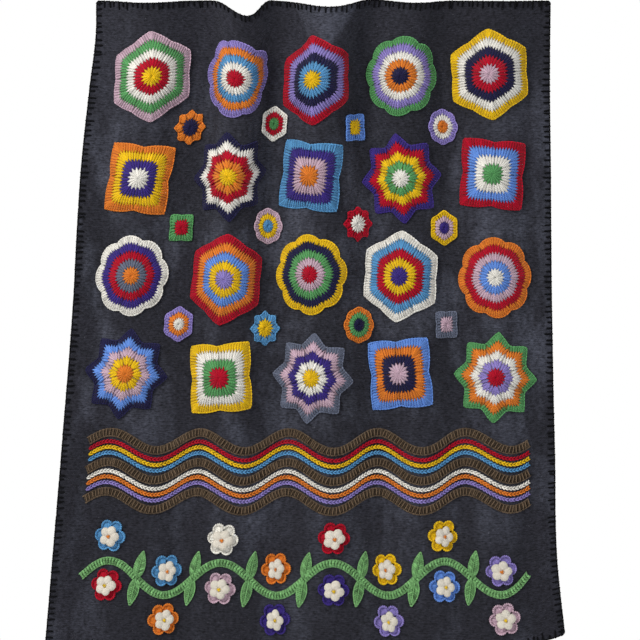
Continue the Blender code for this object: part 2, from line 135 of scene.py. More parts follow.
YARNS = {
    "red": (0.43, 0.004, 0.021),
    "orange": (0.71, 0.205, 0.026),
    "yellow": (0.78, 0.50, 0.010),
    "white": (0.80, 0.775, 0.71),
    "navy": (0.016, 0.015, 0.058),
    "purple": (0.046, 0.027, 0.205),
    "lilac": (0.27, 0.215, 0.53),
    "pink": (0.54, 0.38, 0.455),
    "sky": (0.10, 0.30, 0.55),
    "cornflower": (0.13, 0.275, 0.69),
    "green": (0.10, 0.32, 0.11),
    "grey": (0.13, 0.147, 0.205),
    "brown": (0.105, 0.072, 0.045),
    "leaf": (0.20, 0.43, 0.165),
    "cream": (0.74, 0.685, 0.585),
    "black": (0.003, 0.003, 0.004),
}

# The motifs: their layout, and the yarns of their rounds from the middle out
LARGE_RADIUS = {"hexagon": 0.078, "square": 0.079, "star": 0.077, "rosette": 0.068}
BASE_TURN = {"hexagon": math.pi / 6, "square": math.pi / 4, "star": 0.0, "rosette": 0.0}
SMALL_RADIUS = dict.fromkeys(LARGE_RADIUS, 0.031)
FIRST_LARGE = (0.106, 0.124)
LARGE_PITCH = (0.172, 0.166)
HAND_SHIFT = 0.004
HAND_TURN = math.radians(5)
FIRST_SMALL_NUMBER = 40
FIRST_FLOWER_NUMBER = 70
LARGE_MOTIFS = (
    (
        ("hexagon", "yellow red white green pink"),
        ("rosette", "red white sky orange lilac"),
        ("hexagon", "yellow sky navy lilac red"),
        ("rosette", "navy orange white lilac green"),
        ("hexagon", "pink red navy white yellow"),
    ),
    (
        ("square", "white purple yellow orange"),
        ("star", "yellow orange red white navy"),
        ("square", "orange pink purple sky"),
        ("star", "white green yellow red purple"),
        ("square", "green white cornflower red"),
    ),
    (
        ("rosette", "orange grey red purple white"),
        ("hexagon", "lilac yellow cornflower orange red"),
        ("rosette", "red pink green navy yellow"),
        ("hexagon", "purple yellow red sky white"),
        ("rosette", "white cornflower pink red orange"),
    ),
    (
        ("star", "orange yellow pink cornflower navy"),
        ("square", "red green white yellow"),
        ("star", "yellow white purple pink grey"),
        ("square", "pink navy orange cornflower"),
        ("star", "red lilac white orange green"),
    ),
)
SMALL_MOTIFS = (
    (("star", "navy orange"), ("hexagon", "green red white"),
     ("square", "yellow cornflower"), ("rosette", "orange white lilac")),
    (("square", "red green"), ("rosette", "sky yellow pink"),
     ("star", "white red"), ("hexagon", "purple pink yellow")),
    (("hexagon", "white orange lilac"), ("star", "yellow sky"),
     ("rosette", "navy green orange"), ("square", "pink grey")),
)

# The waved bands: name, yarn, how far down the cloth, and width
BAND_ENDS = (0.045, 0.855)
BAND_WAVE_HEIGHT = 0.015
BAND_WAVE_LENGTH = 0.164
STRIP_WIDTH = 0.015
CORD_WIDTH = 0.0070
STRAY = 0.0003  # how unevenly the stitches of a band follow each other
BANDS = (
    ("strip_upper", "brown", 0.730, STRIP_WIDTH),
    ("cord_red", "red", 0.7450, CORD_WIDTH),
    ("cord_yellow", "yellow", 0.7545, CORD_WIDTH),
    ("cord_sky", "sky", 0.7640, CORD_WIDTH),
    ("strip_middle", "brown", 0.779, STRIP_WIDTH),
    ("cord_white", "white", 0.7940, CORD_WIDTH),
    ("cord_orange", "orange", 0.8035, CORD_WIDTH),
    ("cord_lilac", "lilac", 0.8130, CORD_WIDTH),
    ("strip_lower", "brown", 0.828, STRIP_WIDTH),
)

# The border at the foot
VINE_HEIGHT = 0.955
VINE_WIDTH = 0.013
VINE_ENDS = (0.050, 0.850)
VINE_WAVE_HEIGHT = 0.028
VINE_WAVE_LENGTH = 0.200
BENDS = 8
LEAF_LENGTH = 0.046
LEAF_HALF_WIDTH = 0.010
LEAF_LEAN = math.radians(12)
FLOWER_RADIUS = 0.0280  # the petals' soft rims stand 2.5 mm past the plain solid
FLOWER_EYE = 0.0155
PETALS = 6
PETAL_FOOT = 0.0100
KNOT_RADIUS = 0.0024
PUFFS = 5
PUFF_RING = 0.57 * FLOWER_EYE
PUFF_SIZE = (0.0088, 0.0081, 0.0047)
MIDDLE_PUFF_SIZE = (0.0050, 0.0050, 0.0042)
INNER_FLOWERS = 0.014
OUTER_FLOWERS = 0.068
FLOWER_SHIFT = 0.5
INNER_YARNS = ("red", "sky", "pink", "orange", "purple", "yellow", "cornflower", "lilac")
OUTER_YARNS = ("sky", "orange", "white", "purple", "red", "lilac", "yellow", "pink")


def smooth(at, knots, values):
    """A smooth line through the knots, read at the given places."""
    knots, values = np.array(knots), np.array(values)
    slopes = np.gradient(values, knots)
    at = np.clip(at, knots[0], knots[-1])
    i = np.clip(np.searchsorted(knots, at, side="right") - 1, 0, len(knots) - 2)
    step = knots[i + 1] - knots[i]
    t = (at - knots[i]) / step
    rise = t * t * (3 - 2 * t)
    start = t * (1 - t) ** 2 * step * slopes[i]
    finish = t * t * (t - 1) * step * slopes[i + 1]
    return values[i] * (1 - rise) + values[i + 1] * rise + start + finish


def beside(u, v, start, end):
    """How far a place lies to the right of a line."""
    run = (end[0] - start[0], end[1] - start[1])
    return ((u - start[0]) * run[1] - (v - start[1]) * run[0]) / math.hypot(*run)


def swag(u, v):
    """How far the swag's slanting face stands forward."""
    inside = beside(u, v, SWAG_LEFT, SWAG_POINT)
    outside = beside(u, v, SWAG_RIGHT, SWAG_POINT)
    share = np.clip(inside / np.maximum(inside - outside, 1e-6), 0, 1)
    past = np.exp(-((np.clip(outside, 0, None) / SWAG_SHOULDER) ** 2))
    fade = np.clip(1 - v / (SWAG_POINT[1] * SWAG_REACH), 0, 1) ** 0.6
    return SWAG_DEPTH * np.sin(math.pi / 2 * share) * past * fade


def forward(u, v):
    """How far the cloth stands forward of the line that it hangs on."""
    total = swag(u, v)
    down = v / CUT_HEIGHT
    for top, foot, half_top, half_foot, ahead in FOLDS:
        middle = top + (foot - top) * down
        half = half_top + (half_foot - half_top) * down
        reach = np.clip(np.abs(u - middle) / half, 0, 1)
        total = total + smooth(v, FOLD_HEIGHTS, ahead) * np.cos(math.pi / 2 * reach) ** 2
    return total


def creased(u, v):
    """How far the soft creases and the unevenness of hand work push the cloth forward."""
    total = np.zeros(np.broadcast(u, v).shape)
    for start, end, width, depth in CREASES:
        run = (end[0] - start[0], end[1] - start[1])
        along = ((u - start[0]) * run[0] + (v - start[1]) * run[1]) / math.hypot(*run) ** 2
        ends = np.exp(-((np.clip(np.abs(along - 0.5) - 0.3, 0, None) / 0.22) ** 2))
        total = total + depth * ends * np.exp(-((beside(u, v, start, end) / width) ** 2))
    for across, down, shift, depth in UNEVENNESS:
        total = total + depth * np.sin(across * u + 3 * np.sin(5 * v) + shift) * np.cos(down * v + 2 * u)
    return total


def sag(u):
    """How far the top edge drops below its holding points."""
    drop = np.zeros(np.shape(u))
    start = 0.0
    for end, deep, lean in SPANS:
        share = np.clip((u - start) / (end - start), 0, 1) ** lean
        drop = drop + deep * np.sin(math.pi * share) ** 2
        start = end
    return drop


def below_the_hooks(across, down):
    """The middle of the cloth's thickness, from the middle of the line that it is hooked along."""
    fine = np.linspace(0, CUT_WIDTH, 901)
    v = np.array(down)[:, None]
    ahead = forward(fine[None, :], v)
    run = np.sqrt(np.clip(1 - np.gradient(ahead, fine, axis=1) ** 2, 0.1, 1))
    share = np.cumsum(run, axis=1) - run[:, :1]
    share /= share[:, -1:]
    left = smooth(v, SIDE_HEIGHTS, LEFT_SIDE)
    right = smooth(v, SIDE_HEIGHTS, RIGHT_SIDE)
    x = left + (right - left) * share
    middle = 2 * fine / CUT_WIDTH - 1
    corner = np.clip((fine - CUT_WIDTH + CORNER_REACH) / CORNER_REACH, 0, 1) ** 2
    low = np.clip(v / CUT_HEIGHT, 0, 1) ** 4
    z = -v - sag(fine) * np.exp(-np.clip(v, 0, None) / SAG_FADE)
    z = z - low * (FOOT_BELLY * (1 - middle**2) - CORNER_LIFT * corner)
    y = -ahead - creased(fine[None, :], v)
    rows = [
        np.stack([np.interp(across, fine, a) for a in (x[j], y[j], z[j])], axis=-1)
        for j in range(len(down))
    ]
    return np.array(rows)


class Hung:
    """The hung cloth as a fine net, and the way from the flat drawing to it."""

    def __init__(self, columns=360, rows=268):
        self.across = np.linspace(0, CUT_WIDTH, columns + 1)
        self.down = np.linspace(0, CUT_HEIGHT, rows + 1)
        origin = below_the_hooks([CUT_WIDTH / 2], [0.0])[0, 0]
        origin[1] += creased(CUT_WIDTH / 2, 0.0)  # the solids have the folds without the creases
        self.points = below_the_hooks(self.across, self.down) - origin
        along_u = np.gradient(self.points, self.across, axis=1)
        along_v = np.gradient(self.points, self.down, axis=0)
        normals = np.cross(along_v, along_u)
        self.normals = normals / np.linalg.norm(normals, axis=2, keepdims=True)

    def place(self, flat):
        """Hangs points of the flat drawing: across, down, and lifted off the cloth's middle."""
        cell = (self.across[1], self.down[1])
        i = np.clip((flat[:, 0] / cell[0]).astype(int), 0, len(self.across) - 2)
        j = np.clip((flat[:, 1] / cell[1]).astype(int), 0, len(self.down) - 2)
        a = (flat[:, 0] / cell[0] - i)[:, None]
        b = (flat[:, 1] / cell[1] - j)[:, None]
        found = []
        for grid in (self.points, self.normals):
            upper = grid[j, i] * (1 - a) + grid[j, i + 1] * a
            lower = grid[j + 1, i] * (1 - a) + grid[j + 1, i + 1] * a
            found.append(upper * (1 - b) + lower * b)
        return found[0] + found[1] * flat[:, 2:3]


HUNG = Hung()


def arithmetic(operation, turned=False):
    """A method that adds a Math node, with its two values turned round for a reflected form."""

    def method(self, other):
        first, second = (other, self) if turned else (self, other)
        return self.shading.maths(operation, first, second)

    return method


class Wire:
    """A shader socket that Python's arithmetic adds Math nodes to."""

    def __init__(self, shading, socket):
        self.shading = shading
        self.socket = socket

    __add__ = arithmetic("ADD")
    __radd__ = arithmetic("ADD", turned=True)
    __sub__ = arithmetic("SUBTRACT")
    __rsub__ = arithmetic("SUBTRACT", turned=True)
    __mul__ = arithmetic("MULTIPLY")
    __rmul__ = arithmetic("MULTIPLY", turned=True)
    __truediv__ = arithmetic("DIVIDE")
    __pow__ = arithmetic("POWER")

    def sine(self):
        return self.shading.maths("SINE", self)


class Made:
    """A node that was made, whose outputs are read by name."""

    def __init__(self, shading, node):
        self.shading = shading
        self.node = node

    def out(self, name):
        return Wire(self.shading, self.node.outputs[name])


class Shading:
    """The nodes of a material or of the world."""

    def __init__(self, owner):
        self.owner = owner
        owner.use_nodes = True
        self.tree = owner.node_tree
        self.tree.nodes.clear()

    def node(self, kind, settings=None, inputs=None):
        """Makes a node, sets it up, then sets or links its sockets."""
        made = self.tree.nodes.new(kind)
        for name, value in (settings or {}).items():
            if name == "stops":
                for element, (at, shade) in zip(made.color_ramp.elements, value):
                    element.position = at
                    element.color = (shade, shade, shade, 1)
            else:
                setattr(made, name, value)
        for name, value in (inputs or {}).items():
            if isinstance(value, Wire):
                self.tree.links.new(value.socket, made.inputs[name])
            else:
                made.inputs[name].default_value = value
        return Made(self, made)

    def maths(self, operation, *values):
        return self.node("ShaderNodeMath", {"operation": operation}, dict(enumerate(values))).out("Value")

    def noise(self, vector, scale, detail=2.0, roughness=0.5, distortion=0.0):
        inputs = {"Vector": vector, "Scale": scale, "Detail": detail}
        inputs |= {"Roughness": roughness, "Distortion": distortion}
        return self.node("ShaderNodeTexNoise", {}, inputs).out("Fac")

    def ramp(self, value, *stops):
        return self.node("ShaderNodeValToRGB", {"stops": stops}, {"Fac": value}).out("Color")

    def mix(self, share, first, second, blend="MIX"):
        settings = {"data_type": "RGBA", "blend_type": blend, "clamp_factor": True}
        return self.node("ShaderNodeMix", settings, {0: share, 6: first, 7: second}).out(2)

    def grey(self, shade):
        return self.node("ShaderNodeCombineColor", {}, {0: shade, 1: shade, 2: shade}).out("Color")

    def toned(self, colour, shade):
        """A colour made lighter or darker by a number."""
        return self.mix(1.0, colour, self.grey(shade), "MULTIPLY")

    def scaled(self, vector, *scale):
        return self.node("ShaderNodeMapping", {}, {"Vector": vector, "Scale": scale}).out("Vector")

    def attribute(self, name, out):
        return self.node("ShaderNodeAttribute", {"attribute_name": name}).out(out)

    def parts(self, vector):
        split = self.node("ShaderNodeSeparateXYZ", {}, {"Vector": vector})
        return split.out("X"), split.out("Y")

    def finish(self, colour, roughness, bump_height, bump_depth, gloss, sheen, tint, alpha=1.0):
        heights = {"Height": bump_height, "Distance": bump_depth, "Strength": 1.0}
        bump = self.node("ShaderNodeBump", {}, heights)
        inputs = {
            "Base Color": colour,
            "Roughness": roughness,
            "Metallic": 0.0,
            "Alpha": alpha,
            "Specular IOR Level": gloss,
            "Sheen Weight": sheen,
            "Sheen Roughness": 0.45,
            "Sheen Tint": tint,
            "Normal": bump.out("Normal"),
        }
        shader = self.node("ShaderNodeBsdfPrincipled", {}, inputs)
        self.node("ShaderNodeOutputMaterial", {}, {"Surface": shader.out("BSDF")})
        return self.owner


def felt_material(colour, worn_and_sheen):
    """Charcoal felt: short fibres, faint lines across, lighter places that are partly real wear and partly
    painted sheen and light, and a little lint.
    """
    s = Shading(bpy.data.materials.new("felt"))
    cut = s.node("ShaderNodeUVMap", {"uv_map": "cut"}).out("UV")
    across, up = s.parts(cut)
    down = up * -1
    fibres = s.noise(cut, 1000, detail=3, roughness=0.65, distortion=0.6)
    tufts = s.noise(s.scaled(cut, 0.45, 1.0, 1.0), 330, detail=3, roughness=0.6)
    mottle = s.noise(cut, 90, detail=3, roughness=0.6)
    lines = (up * 2100 + s.noise(cut, 30, detail=3) * 14).sine()
    streaks = s.noise(s.scaled(cut, 2.4, 1.0, 1.0), 9.0, detail=4, roughness=0.60)
    clouds = s.noise(cut, 3.2, detail=3, roughness=0.5)
    # Real wear mixed with painted sheen: the streaks and the ridge attribute light the folds' ridges and
    # shade their troughs
    rubbed_and_sheen = streaks * 0.62 + clouds * 0.38 + s.attribute("ridge", "Fac") * 0.10
    wear_and_sheen = s.ramp(rubbed_and_sheen, (0.47, 0.0), (0.67, 1.0))
    # Painted light: the swag's slanting face is lighter, more so away from its valley, with some of the
    # wear and sheen in it
    past_valley = beside(across, down, SWAG_LEFT, SWAG_POINT)
    before_ridge = beside(across, down, SWAG_RIGHT, SWAG_POINT) * -1
    face = s.ramp(past_valley, (0.0, 0.0), (0.004, 1.0)) * s.ramp(before_ridge, (0.0, 0.0), (0.012, 1.0))
    # Painted light fall-off: the lighter places fade towards the top and the foot of the cloth
    light_falloff = s.ramp(down, (0.06, 0.15), (0.38, 1.0)) * s.ramp(down, (0.52, 1.0), (0.95, 0.55))
    painted_swag_light = face * (past_valley * 5.5 + wear_and_sheen * 0.3 + 0.13)
    base = s.mix((wear_and_sheen + 0.05) * light_falloff + painted_swag_light, (*colour, 1), (*worn_and_sheen, 1))
    shade = (fibres * 1.2 + tufts * 2.9 + mottle * 1.3 + lines * 0.10 - 1.70) * (clouds * 0.9 + 0.53)
    lint = s.ramp(s.noise(cut, 420, detail=1, roughness=0.4, distortion=1.5), (0.74, 0.0), (0.79, 1.0))
    coloured = s.mix(lint * 0.45, s.toned(base, shade), (0.20, 0.20, 0.23, 1))
    height = fibres * 0.4 + tufts * 0.8 + mottle * 0.8 + lines * 0.10
    return s.finish(coloured, 0.95, height, 0.0012, 0.2, 0.12, (0.75, 0.80, 0.95, 1))


def yarn_material(name, bloom):
    """Soft plied yarn, in the colour that each stitch carries."""
    s = Shading(bpy.data.materials.new(name))
    along, round_it = s.parts(s.attribute("ply", "Vector"))
    where = s.node("ShaderNodeTexCoord").out("Object")
    fuzz = s.noise(where, 1500, detail=3, roughness=0.7, distortion=0.4)
    uneven = s.noise(where, 400, detail=2, roughness=0.6)
    twist = (along * 2200 + round_it * 12.566).sine() * 0.5 + 0.5
    # Painted shade: the twist darkens the grooves between the plies
    shade = 0.48 + (twist ** 0.6) * 0.22 + fuzz * 0.36 + uneven * 0.44
    coloured = s.toned(s.attribute("yarn", "Color"), shade)
    height = (twist ** 0.7) * 0.8 + fuzz * 0.45
    return s.finish(coloured, 0.88, height, 0.00055, 0.1, bloom, (1.0, 1.0, 1.0, 1))


def floor_material(radius):
    """A pale plain floor that fades out towards its rim."""
    s = Shading(bpy.data.materials.new("pale_floor"))
    where = s.node("ShaderNodeTexCoord").out("Object")
    shade = 0.84 + s.noise(where, 1.4, detail=3) * 0.04
    level = s.scaled(where, 1 / radius, 1 / radius, 0.0)
    middle = s.node("ShaderNodeTexGradient", {"gradient_type": "SPHERICAL"}, {"Vector": level}).out("Fac")
    alpha = s.ramp(middle, (0.06, 0.0), (0.62, 1.0))
    return s.finish(s.grey(shade), 0.7, s.noise(where, 60), 0.0005, 0.3, 0.0, (1, 1, 1, 1), alpha)


MATERIALS = {}


def material(name, make, *given):
    """The material of this name, made once."""
    if name not in MATERIALS:
        MATERIALS[name] = make(*given)
    return MATERIALS[name]


# The rings of each kind of strand: along it, its half width, its half height, and its lift
TOOTHED_POST = (
    (-0.05, 0.34, 0.45, 0.25),
    (0.36, 0.58, 1.00, 0.72),
    (0.90, 0.56, 1.00, 0.96),
    (1.05, 0.32, 0.85, 1.10),
    (1.32, 0.05, 0.40, 1.12),
)
PLAIN_POST = (
    (-0.05, 0.34, 0.45, 0.25),
    (0.35, 0.58, 1.00, 0.72),
    (0.88, 0.57, 1.00, 0.80),
    (1.06, 0.36, 0.60, 0.65),
)
LOOP = (
    (-0.22, 0.16, 0.18, 0.14),
    (0.25, 0.52, 0.50, 0.48),
    (0.75, 0.52, 0.50, 0.48),
    (1.22, 0.16, 0.18, 0.14),
)
LEG = (
    (-0.12, 0.40, 0.36, 0.40),
    (0.10, 0.50, 0.50, 0.50),
    (0.80, 0.48, 0.46, 0.46),
    (1.00, 0.30, 0.22, 0.10),
)
POST_SIDES = 4
YARN_SIDES = 5

# How thick the base fabrics are, and how far from the cloth's middle the puffs of a flower start
MOTIF_BASE = 0.0011
STRIP_BASE = 0.0009
CORD_BASE = 0.0012
PUFF_FROM = SEWN_FROM + 0.0036

# How far base fabric and inner stitches stop short of an edge
EDGE_ROOM = 0.0012

# How far the join of each round climbs over the next, and how many stitches further on it lies
JOIN_REACH = 0.32
JOIN_STEP = 5

# What the random draws start from
EDGE_SEED = 5
SEWING_SEED = 9
BAND_SEED = 100
VINE_SEED = 200


def taken(bm):
    """The points and faces of a mesh that is ready."""
    bm.verts.index_update()
    points = np.array([vert.co[:] for vert in bm.verts])
    faces = [[vert.index for vert in face.verts] for face in bm.faces]
    bm.free()
    return points, faces


def thin_grid(columns, rows, low, high):
    """A thin closed sheet of even faces, one unit long and wide."""
    bm = bmesh.new()
    bmesh.ops.create_grid(bm, x_segments=columns, y_segments=rows, size=0.5)
    under = bm.verts[:]
    made = bmesh.ops.extrude_face_region(bm, geom=bm.faces[:], use_keep_orig=True)
    over = [g for g in made["geom"] if isinstance(g, bmesh.types.BMVert)]
    for side, height in ((under, low), (over, high)):
        for vert in side:
            vert.co.z = height
    bmesh.ops.recalc_face_normals(bm, faces=bm.faces[:])
    return bm


def stand(name, data):
    """A new object at the origin."""
    obj = bpy.data.objects.new(name, data)
    bpy.context.scene.collection.objects.link(obj)
    return obj


class Strand:
    """A short closed length of yarn along +X, which every stitch repeats at its own size."""

    def __init__(self, rings, sides):
        bm = bmesh.new()
        bmesh.ops.create_circle(bm, cap_ends=True, segments=sides, radius=1)
        end = bm.faces[:]
        for number in range(1, len(rings)):
            made = bmesh.ops.extrude_face_region(bm, geom=end, use_keep_orig=number == 1)
            end = [g for g in made["geom"] if isinstance(g, bmesh.types.BMFace)]
            for vert in end[0].verts:
                vert.co.z = number
        bmesh.ops.recalc_face_normals(bm, faces=bm.faces[:])
        bmesh.ops.triangulate(bm, faces=[f for f in bm.faces if len(f.verts) > 4])
        points, faces = taken(bm)
        x, y, ring = points.T
        along, width, height, lift = np.array(rings)[ring.astype(int)].T
        self.shape = np.stack([along, x * width, y * height + lift], axis=1)
        self.around = (np.arctan2(y, x) + math.pi / 2) % (2 * math.pi) / (2 * math.pi)
        # the ring's own frame is left-handed once it lies along +X, so its faces are turned
        self.faces = [face[::-1] for face in faces]


TOOTHED = Strand(TOOTHED_POST, POST_SIDES)
PLAIN = Strand(PLAIN_POST, POST_SIDES)
EDGE_LOOP = Strand(LOOP, POST_SIDES)
BEAD = Strand(LOOP, YARN_SIDES)
STITCH_LEG = Strand(LEG, YARN_SIDES)

# Each stitch: its strand, its height, how far from the cloth's middle it starts, how much its
# brightness varies at random from stitch to stitch, and how bright it is; a brightness other than 1
# is painted light or shade
POST = (TOOTHED, 0.0017, SEWN_FROM + 0.0008, 0.08, 1.0)
# Painted shade: the last round's posts are darker, for the shade between them
LAST_POST = (PLAIN, 0.0017, SEWN_FROM + 0.0008, 0.08, 0.93)
JOIN = (BEAD, 0.0022, SEWN_FROM + 0.0020, 0.08, 1.0)
# Painted highlight: the loops of a motif's rim are lighter, as their tops catch the light
RIM = (EDGE_LOOP, 0.0038, SEWN_FROM + 0.0004, 0.10, 1.16)
# Painted shade and highlight: a brown strip's dark ribs stand for the shade between its ribs, its light
# ribs for their lit tops
SHADED_RIB = (PLAIN, 0.0015, SEWN_FROM + 0.0004, 0.24, 0.55)
LIT_RIB = (PLAIN, 0.0023, SEWN_FROM + 0.0004, 0.24, 1.75)
BAR = (PLAIN, 0.0020, SEWN_FROM + 0.0004, 0.20, 1.0)
CHAIN = (BEAD, 0.0036, SEWN_FROM, 0.10, 1.0)
LEAF_FAN = (PLAIN, 0.0018, SEWN_FROM + 0.0004, 0.20, 1.0)
LEAF_RIM = (BEAD, 0.0032, SEWN_FROM + 0.0002, 0.12, 1.0)
LEAF_RIB = (BEAD, 0.0030, SEWN_FROM + 0.0014, 0.10, 1.0)
PETAL = (PLAIN, 0.0012, SEWN_FROM + 0.0001, 0.12, 1.0)
# Painted highlight: a petal's rolled rim is lighter, as it catches the light
PETAL_RIM = (BEAD, 0.0046, SEWN_FROM + 0.0004, 0.10, 1.14)
KNOT = (BEAD, 0.0020, SEWN_FROM + 0.0122, 0.05, 1.0)


class Work:
    """Stitches and slabs gathered into one mesh, drawn flat and then hung."""

    def __init__(self, seed):
        self.random = np.random.default_rng(seed)
        self.flat, self.yarn, self.ply = [], [], []
        self.corners, self.sizes = [], []
        self.count = 0

    def add(self, flat, faces, colours, ply, copies=1):
        """Adds points of the flat drawing, and the faces that each copy repeats."""
        self.flat.append(flat)
        self.yarn.append(colours)
        self.ply.append(ply)
        starts = self.count + len(flat) // copies * np.arange(copies)
        for size in (3, 4):
            alike = np.array([face for face in faces if len(face) == size])
            if len(alike):
                self.corners.append((alike[None] + starts[:, None, None]).reshape(-1))
                self.sizes.extend([size] * (copies * len(alike)))
        self.count += len(flat)

    def stitches(self, stitch, feet, tips, wide, yarn):
        """Repeats a stitch from each foot to each tip, as wide as is given for both or for each."""
        strand, height, lift, shade, glow = stitch
        feet, tips = np.array(feet), np.array(tips)
        copies = len(feet)
        run = tips - feet
        length = np.linalg.norm(run, axis=1, keepdims=True)
        side = np.stack([-run[:, 1], run[:, 0]], axis=1) / length
        loose = self.random.normal(0, 1, (copies, 3))
        along, out, up = strand.shape.T
        at_foot, at_tip = np.broadcast_to(wide, 2)
        width = at_foot + (at_tip - at_foot) * np.clip(along, 0, 1)
        out = (out * width)[None, :] * (1 + 0.05 * loose[:, :1])
        up = up[None, :] * height + lift + 0.0001 * loose[:, 1:2]
        sideways = out[:, :, None] * side[:, None, :]
        places = feet[:, None, :] + along[None, :, None] * run[:, None, :] + sideways
        flat = np.concatenate([places, up[:, :, None]], axis=2).reshape(-1, 3)
        bright = np.clip(glow + shade * loose[:, 2:], 0.5, 1.6)
        colours = np.repeat(np.clip(np.array(YARNS[yarn]) * bright, 0, 1), len(along), axis=0)
        twist = along[None, :] * length + 0.01 * np.arange(copies)[:, None]
        around = np.tile(strand.around, copies)
        ply = np.stack([twist.reshape(-1), around, np.repeat(loose[:, 0], len(along))], axis=1)
        self.add(flat, strand.faces, colours, ply, copies)

    def backing(self, path, half_width, thick, colour, steps=220):
        """A thin closed strip of base fabric along a path, under its stitches."""
        shape, faces = taken(thin_grid(steps, 1, SEWN_FROM, SEWN_FROM + thick))
        along = (shape[:, 0] + 0.5) * path.length * 0.996 + path.length * 0.002
        places = path.at(along) + path.side(along) * (2 * half_width * shape[:, 1:2])
        flat = np.concatenate([places, shape[:, 2:]], axis=1)
        self.add(flat, faces, np.tile(colour, (len(flat), 1)), np.zeros((len(flat), 3)))

    def slab(self, outline_at, shares, yarn_at, thick, steps=54):
        """A closed ring of base fabric under the stitches, spun and then drawn out to the outline."""
        bm = bmesh.new()
        profile = [bm.verts.new((share, 0, SEWN_FROM)) for share in shares]
        profile += [bm.verts.new((share, 0, SEWN_FROM + thick)) for share in shares[::-1]]
        edges = [bm.edges.new((profile[k - 1], profile[k])) for k in range(len(profile))]
        bmesh.ops.spin(
            bm, geom=profile + edges, cent=(0, 0, 0), axis=(0, 0, 1), dvec=(0, 0, 0),
            angle=2 * math.pi, steps=steps, use_merge=True, use_duplicate=False,
        )
        bmesh.ops.remove_doubles(bm, verts=bm.verts[:], dist=1e-6)
        bmesh.ops.recalc_face_normals(bm, faces=bm.faces[:])
        points, faces = taken(bm)
        shares = np.hypot(points[:, 0], points[:, 1])
        u, v = outline_at(shares, np.arctan2(points[:, 1], points[:, 0]))
        colours = np.array([yarn_at(share) for share in shares])
        self.add(np.stack([u, v, points[:, 2]], axis=1), faces, colours, np.zeros(points.shape))

    def piece(self, name, node, yarn="crochet_yarn", bloom=0.07):
        """Hangs the work, makes it an object, and declares what it stands for."""
        points = HUNG.place(np.concatenate(self.flat))
        mesh = bpy.data.meshes.new(name)
        corners = np.concatenate(self.corners).astype(np.int32)
        sizes = np.array(self.sizes, np.int32)
        mesh.vertices.add(len(points))
        mesh.vertices.foreach_set("co", points.astype(np.float32).reshape(-1))
        mesh.loops.add(len(corners))
        mesh.loops.foreach_set("vertex_index", corners)
        mesh.polygons.add(len(sizes))
        mesh.polygons.foreach_set("loop_start", (np.cumsum(sizes) - sizes).astype(np.int32))
        mesh.update(calc_edges=True)
        colours = np.concatenate([np.concatenate(self.yarn), np.ones((len(points), 1))], axis=1)
        layer = mesh.color_attributes.new("yarn", "FLOAT_COLOR", "POINT")
        layer.data.foreach_set("color", colours.astype(np.float32).reshape(-1))
        layer = mesh.attributes.new("ply", "FLOAT_VECTOR", "POINT")
        layer.data.foreach_set("vector", np.concatenate(self.ply).astype(np.float32).reshape(-1))
        mesh.shade_smooth()
        mesh.materials.append(material(yarn, yarn_material, yarn, bloom))
        declare(stand(name, mesh), node)


def declare(obj, node):
    """Lets a piece ride on the cloth's body and stand for its solid."""
    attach(obj, "root")
    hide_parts(node)


def by_hand(number):
    """The small shift and turn of a piece that was sewn on by hand."""
    shift = (HAND_SHIFT * math.sin(2.3 * number + 1), HAND_SHIFT * math.sin(4.1 * number))
    return shift, HAND_TURN * math.sin(3.1 * number + 2)


def profile(kind, angle):
    """The outline of each kind of motif: its radius at an angle, as a share of its largest."""
    if kind in ("hexagon", "square"):
        turn = 2 * math.pi / (6 if kind == "hexagon" else 4)
        off_middle = np.abs(angle % turn - turn / 2)
        straight = math.cos(turn / 2) / np.cos(off_middle)
        return 0.80 * straight + 0.20 * np.cos(turn / 2 - off_middle) ** 2
    if kind == "star":
        return 0.76 + 0.24 * (1 - np.abs(np.sin(4 * angle))) ** 0.8
    return 0.88 + 0.12 * np.abs(np.cos(4 * angle)) ** 0.6


def run_along(points):
    """How far along a line each of its points lies."""
    return np.concatenate([[0], np.cumsum(np.linalg.norm(np.diff(points, axis=0), axis=1))])


class Motif:
    """A crocheted motif's rounds, which go from round to its own outline."""

    FINE = 720

    def __init__(self, kind, centre, radius, turn):
        self.kind, self.centre, self.radius, self.turn = kind, centre, radius, turn
        self.angles = np.linspace(0, 2 * math.pi, self.FINE, endpoint=False)
        self.mean = float(profile(kind, self.angles).mean())

    def reach(self, share, angle):
        """How far the round at this share of the way out lies from the middle."""
        blend = share**0.7
        return self.radius * share * (self.mean * (1 - blend) + profile(self.kind, angle) * blend)

    def at(self, share, angle):
        """A place on the round, in the flat drawing."""
        reach = self.reach(share, angle)
        return (
            self.centre[0] + reach * np.cos(angle + self.turn),
            self.centre[1] - reach * np.sin(angle + self.turn),
        )

    def ring(self, share):
        return np.stack(self.at(share, self.angles), axis=1)

    def closed(self, share):
        return self.ring(share)[np.arange(self.FINE + 1) % self.FINE]

    def spaced(self, share, count, start=0.0):
        """This many places, evenly spaced round the round."""
        closed = self.closed(share)
        run = run_along(closed)
        at = (np.arange(count) + start) / count * run[-1]
        return np.stack([np.interp(at, run, closed[:, k]) for k in (0, 1)], axis=1)

    def length(self, share):
        return float(run_along(self.closed(share))[-1])


def nearest(points, ring):
    """For each point, the nearest place on a ring of points."""
    gaps = np.linalg.norm(points[:, None, :] - ring[None, :, :], axis=2)
    return ring[gaps.argmin(axis=1)]


def shaded(yarn, share):
    """A yarn's colour at a share of its brightness, for the painted shade of base fabric between stitches.
    """
    return tuple(share * c for c in YARNS[yarn])


